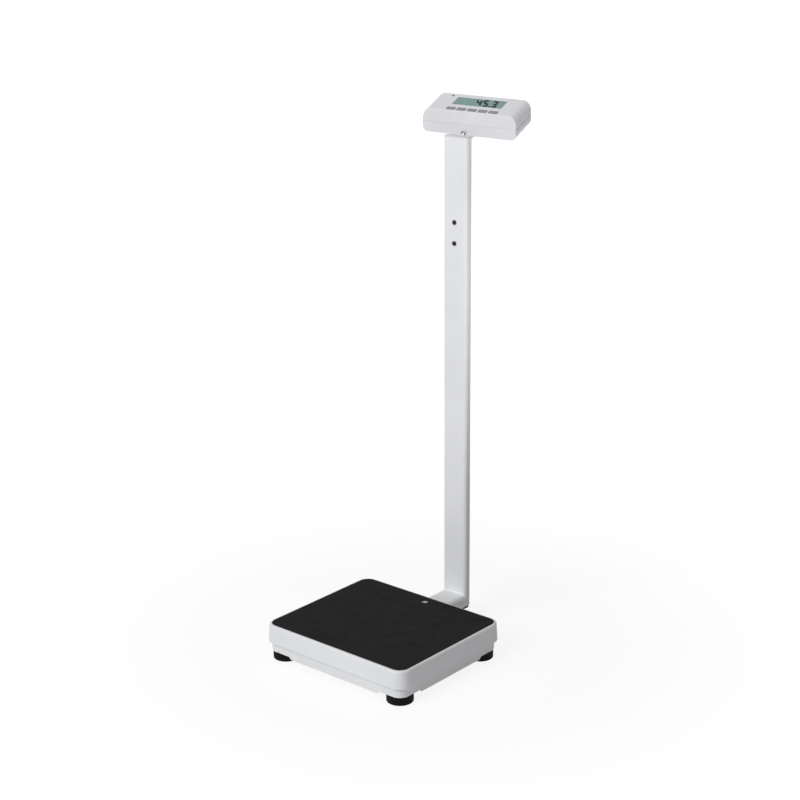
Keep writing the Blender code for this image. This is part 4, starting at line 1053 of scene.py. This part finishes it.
# %% Display head: upper shell
PANEL_X, LCD_S = 4.7 * MM, 33.8 * MM
LCD_W, LCD_D, LCD_R = 123.0 * MM, 24.5 * MM, 1.0 * MM
KEY_W, KEY_D, KEY_R, KEY_S = 21.5 * MM, 8.0 * MM, 1.6 * MM, 7.3 * MM
LED_X, LED_S, LED_R = -72.2 * MM, 49.0 * MM, 2.2 * MM
WINDOW_GAP, KEY_GAP, LED_GAP = 0.15 * MM, 0.2 * MM, 0.1 * MM
EASE = 0.35 * MM
KEY_X = [sum(corner.x for corner in span(f"key_{i}")) / 2 for i in range(1, 6)]


def hole_round(width, depth, radius, gap):
    """The outline of an opening round a piece of this size, for a flare of grow."""
    return lambda grow: rounded(width + 2 * (gap + grow), depth + 2 * (gap + grow), radius + grow, 6)


def lamp_hole(grow):
    """The outline of the lamp's opening, for a flare of grow."""
    return circle(LED_R + LED_GAP + grow, 32)


def opening(outline_at, at, out):
    """Verts and faces of a cutter that flares at the outer face. out is +1 for up and -1 for down."""
    levels = ((0.0, -2 * HEAD_WALL), (0.0, -EASE), (EASE, 0.0), (2 * EASE, EASE))
    return stacked([(outline_at(grow), out * height) for grow, height in levels], at)


def joined(parts):
    """One list of verts and one of faces out of several."""
    verts, faces = [], []
    for more, sides in parts:
        faces += [tuple(i + len(verts) for i in side) for side in sides]
        verts += more
    return verts, faces


holes = [(hole_round(LCD_W, LCD_D, LCD_R, WINDOW_GAP), PANEL_X, LCD_S), (lamp_hole, LED_X, LED_S)]
holes += [(hole_round(KEY_W, KEY_D, KEY_R, KEY_GAP), x, KEY_S) for x in KEY_X]
cutter = joined([opening(outline_at, on_panel(x, s), 1) for outline_at, x, s in holes])
carve(lid, mesh_object("cutter", *cutter))
place_piece(lid, white_abs, ["head_upper_housing"])

# %% [markdown]
# ## Display head: lower shell
# The lower shell has a small notch at its front, an opening for the batteries and a hole for the cable.
# A cut alone would open the notch into the hollow head, so a block is joined on inside first, and the
# notch is cut into that.

# %% Display head: lower shell
NOTCH_X, NOTCH_W, NOTCH_H, NOTCH_DEPTH = -10.0 * MM, 15.2 * MM, 8.5 * MM, 4.5 * MM
NOTCH_WALL, INSIDE_SKIN, OUTSIDE = 2.0 * MM, 1.4 * MM, -3.0 * MM
DOOR_W, DOOR_D, DOOR_R = 70.0 * MM, 30.0 * MM, 1.5 * MM
DOOR_X, DOOR_S = sum(corner.x for corner in span("battery_door")) / 2, 31.0 * MM
CABLE_LOW, CABLE_HIGH = span("signal_cable")
CABLE_R, CABLE_HOLE_R = 2.5 * MM, 2.9 * MM
CABLE_AT = ((CABLE_LOW.x + CABLE_HIGH.x) / 2, CABLE_HIGH.y - CABLE_R)


def notch_block(grow, low):
    """A block as large as the notch and grow more. It starts at low from the head's front and floor."""
    half = NOTCH_W / 2 + grow
    deep = HEAD_WALL / TILT_C + NOTCH_DEPTH + grow
    outline = [(NOTCH_X - half, low), (NOTCH_X + half, low),
               (NOTCH_X + half, NOTCH_H + grow), (NOTCH_X - half, NOTCH_H + grow)]
    return mesh_object("cutter", *loft([head_ring(outline, low), head_ring(outline, deep)]))


shell = head_shell("moulded_lower_shell", SEAM - CLEAR, 0.0, BOTTOM_R)
carve(shell, notch_block(NOTCH_WALL, INSIDE_SKIN), how="UNION")
door_hole = opening(hole_round(DOOR_W, DOOR_D, DOOR_R, CLEAR), on_floor(DOOR_X, DOOR_S), -1)
carve(shell, notch_block(0.0, OUTSIDE), mesh_object("cutter", *door_hole),
      rod(CABLE_HOLE_R, HEAD_Z - MM, HEAD_Z + SEAM, upright(*CABLE_AT)))
place_piece(shell, white_abs, ["head_lower_housing"])

# %% [markdown]
# ## Window and display
# The display is a reflective liquid crystal: green-grey glass with dark segments. It lies close under
# a thin acrylic window, so that nothing but its face is seen. A picture on a plane could stand for
# both, but it would have no edge and no thickness, so each is a stack of outlines.

# %% Window and display
WINDOW_TOP, WINDOW_T, WINDOW_EASE, WINDOW_INSET = -0.1 * MM, 0.25 * MM, 0.1 * MM, 0.15 * MM
GLASS_GAP = 0.1 * MM
GLASS_TOP = WINDOW_TOP - WINDOW_T - GLASS_GAP
MODULE_MARGIN, MODULE_LOW = 2.0 * MM, -9.7 * MM
MODULE_HIGH = -HEAD_WALL - CLEAR
panel = on_panel(PANEL_X, LCD_S)
face = rounded(LCD_W, LCD_D, LCD_R, 6)
inner_face = rounded(LCD_W - 2 * WINDOW_INSET, LCD_D - 2 * WINDOW_INSET, LCD_R - WINDOW_INSET, 6)
levels = [(face, WINDOW_TOP - WINDOW_T), (face, WINDOW_TOP - WINDOW_EASE), (inner_face, WINDOW_TOP)]
pane = mesh_object("acrylic_window", *stacked(levels, panel))
place_piece(pane, clear_acrylic, ["lcd_window"])
module = rounded(LCD_W + 2 * MODULE_MARGIN, LCD_D + 2 * MODULE_MARGIN, LCD_R, 6)
levels = [(module, MODULE_LOW), (module, MODULE_HIGH), (face, MODULE_HIGH), (face, GLASS_TOP)]
glass = mesh_object("lcd_module", *stacked(levels, panel))
place_piece(glass, lcd_glass, ["lcd_panel"])

# %% [markdown]
# ## Figures
# The reading follows the photograph: forty-five point three, in seven-segment figures that lean a
# little. A font could write it, but a liquid crystal can only switch whole segments. So seven outlines
# are drawn once, mitred where they meet, and each figure lists those that it shows.

# %% Figures
DIGIT_H, DIGIT_W, STROKE, LEAN = 21.4 * MM, 14.2 * MM, 5.0 * MM, -0.25
SEGMENT_GAP, SEGMENT_T = 0.2 * MM, 0.05 * MM
DIGITS_S = -0.2 * MM
FIGURES = (("4", -1.4 * MM), ("5", 16.0 * MM), ("3", 37.2 * MM))
SEGMENTS = {"4": "bcfg", "5": "acdfg", "3": "abcdg"}
POINT_X, POINT_R = 27.6 * MM, 0.45 * STROKE


def segment_outlines():
    """Outlines of the seven segments of a figure about its middle, mitred where two of them meet."""
    w, h, t, gap = DIGIT_W / 2, DIGIT_H / 2, STROKE, SEGMENT_GAP
    top = [(gap - w, h), (w - gap, h), (w - t - gap, h - t), (t + gap - w, h - t)]
    upper = [(w, h - gap), (w - t, h - t - gap), (w - t, t / 2 + gap), (w - t / 2, gap), (w, gap)]
    middle = [(t / 2 + gap - w, 0.0), (t + gap - w, t / 2), (w - t - gap, t / 2),
              (w - t / 2 - gap, 0.0), (w - t - gap, -t / 2), (t + gap - w, -t / 2)]
    return {"a": top, "b": upper, "c": [(x, -y) for x, y in upper], "d": [(x, -y) for x, y in top],
            "e": [(-x, -y) for x, y in upper], "f": [(-x, y) for x, y in upper], "g": middle}


def figure_shapes():
    """Outlines of every dark segment on the display."""
    outlines = segment_outlines()
    shapes = []
    for figure, x in FIGURES:
        for key in SEGMENTS[figure]:
            shapes.append([(x + px, py) for px, py in outlines[key]])
    shapes.append([(POINT_X + px, py - (DIGIT_H - STROKE) / 2) for px, py in circle(POINT_R, 16)])
    return [[(px + LEAN * py, DIGITS_S + py) for px, py in shape] for shape in shapes]


raised = [stacked([(shape, GLASS_TOP), (shape, GLASS_TOP + SEGMENT_T)], panel) for shape in figure_shapes()]
figures = mesh_object("lcd_figures", *joined(raised))
place_piece(figures, segment_ink, ["lcd_panel"])

# %% [markdown]
# ## Status lamp
# A small dark lens beside the display, which is a lamp of 4.4 mm that is off. A sphere would stand too
# far out, so a low dome is turned.

# %% Status lamp
LED_FOOT, LED_DOME = -4.0 * MM, 0.4 * MM
profile = [(LED_R, LED_FOOT)] + domed(LED_R, 0.0, LED_DOME, 8)
lamp = mesh_object("status_lamp", *loft(turned(profile, 40, on_panel(LED_X, LED_S))))
place_piece(lamp, lens_epoxy, ["status_led"])

# %% [markdown]
# ## Keys
# Five grey silicone keys stand a little proud of the panel. Each has a soft edge and a slightly
# dished top, a rim that keeps it in, and a stem that presses on a dome of its own on the board. An array
# would make all five at once, but each key moves by itself, so a loop makes five objects.

# %% Keys
KEY_TOP, KEY_EASE, KEY_DISH = 0.8 * MM, 0.5 * MM, 0.12 * MM
STEM_W, STEM_R, STEM_FOOT = 4.0 * MM, 1.9 * MM, -9.0 * MM
RIM, RIM_LOW, RIM_HIGH = 0.9 * MM, -4.0 * MM, -2.8 * MM
DISH_INSET, DISH_R = 2.0 * MM, 0.8 * MM


def key_levels():
    """Outlines of a key from its stem's foot to the middle of its top."""
    stem = rounded(STEM_W, STEM_W, STEM_R, 6)
    rim = rounded(KEY_W + 2 * RIM, KEY_D + 2 * RIM, KEY_R, 6)
    dish = rounded(KEY_W - 2 * DISH_INSET, KEY_D - 2 * DISH_INSET, DISH_R, 6)
    levels = [(stem, STEM_FOOT), (stem, RIM_LOW), (rim, RIM_LOW), (rim, RIM_HIGH)]
    levels.append((rounded(KEY_W, KEY_D, KEY_R, 6), RIM_HIGH))
    levels += [(outline, KEY_TOP - drop) for outline, drop in rolled(KEY_W, KEY_D, KEY_R, KEY_EASE, 5, 6)]
    levels.append((dish, KEY_TOP - KEY_DISH))
    return levels


for number, x in enumerate(KEY_X, 1):
    key = mesh_object(f"silicone_key_{number}", *stacked(key_levels(), on_panel(x, KEY_S)))
    place_piece(key, grey_silicone, [f"key_{number}"], 50.0)

# %% [markdown]
# ## Battery door
# The door is a plain moulded flap under the head. Three ridges near its free edge give a thumbnail
# something to hold. A bump in the material would be lighter, but it would not show at the edge when the
# door stands open, so they are joined on.

# %% Battery door
DOOR_T = 2.2 * MM
RIDGES, RIDGE_EDGE, RIDGE_STEP = 3, 4.0 * MM, 2.4 * MM
RIDGE_W, RIDGE_D, RIDGE_R, RIDGE_T = 20.0 * MM, 1.2 * MM, 0.5 * MM, 0.4 * MM
RIDGE_LEAN, RIDGE_ROOT = 0.3 * MM, 0.5 * MM
flap = rounded(DOOR_W, DOOR_D, DOOR_R, 6)
eased = rounded(DOOR_W - 2 * EASE, DOOR_D - 2 * EASE, DOOR_R - EASE, 6)
levels = [(eased, 0.0), (flap, EASE), (flap, DOOR_T)]
door = mesh_object("battery_flap", *stacked(levels, on_floor(DOOR_X, DOOR_S)))
wide = rounded(RIDGE_W, RIDGE_D, RIDGE_R, 4)
slim = rounded(RIDGE_W - 2 * RIDGE_LEAN, RIDGE_D - 2 * RIDGE_LEAN, RIDGE_R - RIDGE_LEAN, 4)
for i in range(RIDGES):
    at = on_floor(DOOR_X, DOOR_S + DOOR_D / 2 - RIDGE_EDGE - i * RIDGE_STEP)
    ridge = stacked([(wide, RIDGE_ROOT), (wide, 0.0), (slim, -RIDGE_T)], at)
    carve(door, mesh_object("ridge", *ridge), how="UNION")
place_piece(door, white_abs, ["battery_door"])

# %% [markdown]
# ## Bracket
# A bent steel strap, painted white, holds the head behind the column. It is bent in a press brake, so
# its bend is round inside and out. A bevel could round a sharp bend, but with one radius inside and out,
# so that the strap gets thicker there. So its side view is drawn with two arcs about one centre.

# %% Bracket
STRAP_LOW, STRAP_HIGH = span("head_bracket")
STRAP_T, STRAP_S, BEND_R, BEND_STEPS = 3.0 * MM, 50.0 * MM, 3.0 * MM, 10


def strap_profile():
    """Side view of the strap as (y, z) points: up the column, round the bend and along the head."""
    front, back = STRAP_LOW.y, STRAP_LOW.y + STRAP_T
    inner, outer = BEND_R, BEND_R + STRAP_T
    low = -CLEAR - STRAP_T
    heel_s = (back - HEAD_Y + low * TILT_S) / TILT_C
    heel_z = HEAD_Z + heel_s * TILT_S + low * TILT_C
    turn = math.pi / 2 - TILT
    centre = Vector((back + inner, heel_z - inner * math.tan(turn / 2)))
    arc = [math.pi - turn * i / BEND_STEPS for i in range(BEND_STEPS + 1)]
    tip = on_floor(0.0, STRAP_S)
    points = [(front, STRAP_LOW.z), (back, STRAP_LOW.z)]
    points += [(centre.x + inner * math.cos(t), centre.y + inner * math.sin(t)) for t in arc]
    points += [tip(0, 0, low)[1:], tip(0, 0, -CLEAR)[1:]]
    points += [(centre.x + outer * math.cos(t), centre.y + outer * math.sin(t)) for t in reversed(arc)]
    return points


sides = [[(x, y, z) for y, z in strap_profile()] for x in (STRAP_LOW.x, STRAP_HIGH.x)]
strap = mesh_object("bent_strap", *loft(sides))
for z in BOLT_Z:
    carve(strap, rod(BOLT_HOLE_R, STRAP_LOW.y - MM, STRAP_LOW.y + STRAP_T + MM, backward(0.0, z)))
place_piece(strap, powder_coat, ["head_bracket"])

# %% [markdown]
# ## Screws and nuts
# Two black socket screws go through the tube into nuts at its back, each foot has a weld nut, and two
# small screws go up into the head's bosses. Hidden threads are left plain. A nut's corners are turned
# off at 30 degrees, which leaves curved edges that a bevel can't give, so they are worked out point by
# point.

# %% Screws and nuts: shapes
FLAT_SHARE, SIDE_SHARE, SOCKET_SHARE, SOCKET_T = 0.62, 0.25, 0.46, 1.6 * MM
FACE_SHARE, CORNER_SLOPE = 0.98, math.tan(math.radians(30))
NUT_SIDES = 72


def socket_screw(name, node, size, at, seat, tip, material):
    """A button-head screw with a hexagon socket. size is its head's radius and height and its shank's
    radius. The head lies on the side of seat away from tip."""
    radius, height, shank = size
    out = 1.0 if seat > tip else -1.0
    profile = [(shank, tip), (shank, seat), (radius, seat)]
    for i in range(9):
        turn = math.pi / 2 * i / 8
        reach = radius * (FLAT_SHARE + (1 - FLAT_SHARE) * math.cos(turn))
        rise = height * (SIDE_SHARE + (1 - SIDE_SHARE) * math.sin(turn))
        profile.append((reach, seat + out * rise))
    screw = mesh_object(name, *loft(turned(profile, 48, at)))
    hexagon = circle(SOCKET_SHARE * radius, 6)
    socket = [(hexagon, seat + out * (height - SOCKET_T)), (hexagon, seat + out * (height + MM))]
    carve(screw, mesh_object("cutter", *stacked(socket, at)))
    return place_piece(screw, material, [node], 35.0)


def nut_end(radius, bore, end, way, at):
    """Rings of one end of a hexagon nut: its bore, its face and its turned edge. way points inwards."""
    across = radius * math.cos(math.pi / 6)
    face_r = FACE_SHARE * across
    rings = [[], [], []]
    for i in range(NUT_SIDES):
        turn = 2 * math.pi * i / NUT_SIDES
        edge = across / math.cos((turn + math.pi / 6) % (math.pi / 3) - math.pi / 6)
        drop = (edge - face_r) * CORNER_SLOPE
        for ring, reach, height in zip(rings, (bore, face_r, edge), (end, end, end + way * drop)):
            ring.append(at(reach * math.cos(turn), reach * math.sin(turn), height))
    return rings


def hex_nut(name, node, radius, bore, low, high, at):
    """A hexagon nut between two heights."""
    rings = nut_end(radius, bore, low, 1, at) + nut_end(radius, bore, high, -1, at)[::-1]
    return place_piece(mesh_object(name, *loft(rings, True)), zinc_steel, [node])


print("nuts:", NUT_SIDES, "points round, corners", round(1 / math.cos(math.pi / 6), 3), "times the flats")

# %% Screws and nuts
BOLT_SIZE, BOLT_HEAD = (4.75 * MM, 3.0 * MM, 2.8 * MM), 3.0 * MM
BOLT_NUT, WELD_NUT = (5.5 * MM, 3.1 * MM), (8.5 * MM, 5.1 * MM)
SMALL_SIZE, SMALL_X, SMALL_S = (3.2 * MM, 2.2 * MM, 1.28 * MM), 6.2 * MM, 41.0 * MM
SMALL_SEAT, SMALL_TIP = -3.6 * MM, 10.0 * MM
for place, z in zip(BOLT_PLACES, BOLT_Z):
    at = backward(0.0, z)
    low, high = span(f"bracket_bolt_{place}")
    socket_screw(f"socket_screw_{place}", f"bracket_bolt_{place}", BOLT_SIZE, at, low.y + BOLT_HEAD, high.y,
                 black_steel)
    low, high = span(f"bracket_nut_{place}")
    hex_nut(f"hex_nut_{place}", f"bracket_nut_{place}", *BOLT_NUT, low.y, high.y, at)
for tag, corner in CORNERS.items():
    low, high = span(f"foot_nut_{tag}")
    hex_nut(f"weld_nut_{tag}", f"foot_nut_{tag}", *WELD_NUT, low.z, high.z, upright(*foot_at(*corner)))
for side, x in (("left", -SMALL_X), ("right", SMALL_X)):
    socket_screw(f"shell_screw_{side}", f"head_screw_{side}", SMALL_SIZE, on_floor(x, SMALL_S),
                 SMALL_SEAT, SMALL_TIP, zinc_steel)

# %% [markdown]
# ## Load cell
# The cell is a milled aluminium bar with a slot through it. One end is bolted to the tray, and the other
# carries the platform and gives way by a fraction of a millimetre under load. A stiff bar on either body
# would be simpler, but one of the spacers would sink into it. So the solid's mesh is copied and cut
# across at even steps, and the copy stays where it is, on neither body.

# %% Load cell
BEND_CUTS = 12
WELD_WITHIN = 0.001 * MM
cell = bpy.data.objects.new("milled_load_cell", NODES["load_cell"].data.copy())
bpy.context.scene.collection.objects.link(cell)
cell.data.transform(NODES["load_cell"].matrix_world)
fixed_x = span("load_cell_spacer_lower")[1].x
free_x = span("load_cell_spacer_upper")[0].x
work = bmesh.new()
work.from_mesh(cell.data)
bmesh.ops.remove_doubles(work, verts=work.verts, dist=WELD_WITHIN)
for i in range(BEND_CUTS + 1):
    x = fixed_x + (free_x - fixed_x) * i / BEND_CUTS
    geometry = [*work.verts, *work.edges, *work.faces]
    bmesh.ops.bisect_plane(work, geom=geometry, plane_co=(x, 0.0, 0.0), plane_no=(1.0, 0.0, 0.0))
work.to_mesh(cell.data)
work.free()
place_piece(cell, milled_alloy, ["load_cell"],
            bend=("base", "platform", (fixed_x, 0.0, 0.0), (free_x, 0.0, 0.0)))

# %% [markdown]
# ## Inner parts
# The spider, the spacers, the pads, the saddle, the board, the batteries, the cable and their bolts are
# out of sight in use, but for a short bend of the cable behind the head. They could be made again with
# eased edges like the rest, but hardly anyone would see it, so their solids are shown as they are,
# each in its own material.

# %% Inner parts
INNER = {
    "spider": milled_alloy, "load_cell_spacer": zinc_steel, "cell_bolt": black_steel,
    "support_pad": soft_rubber, "arm_saddle": zinc_steel, "arm_bolt": zinc_steel,
    "main_board": solder_mask, "battery_pack": shrink_sleeve, "signal_cable": grey_pvc,
}
shown = 0
for name, obj in NODES.items():
    kinds = [kind for kind in INNER if name.startswith(kind)]
    obj.data.materials.clear()
    obj.data.materials.append(INNER[kinds[0]] if kinds else powder_coat)
    shown += len(kinds)
print("inner parts:", shown, "solids shown as they are")
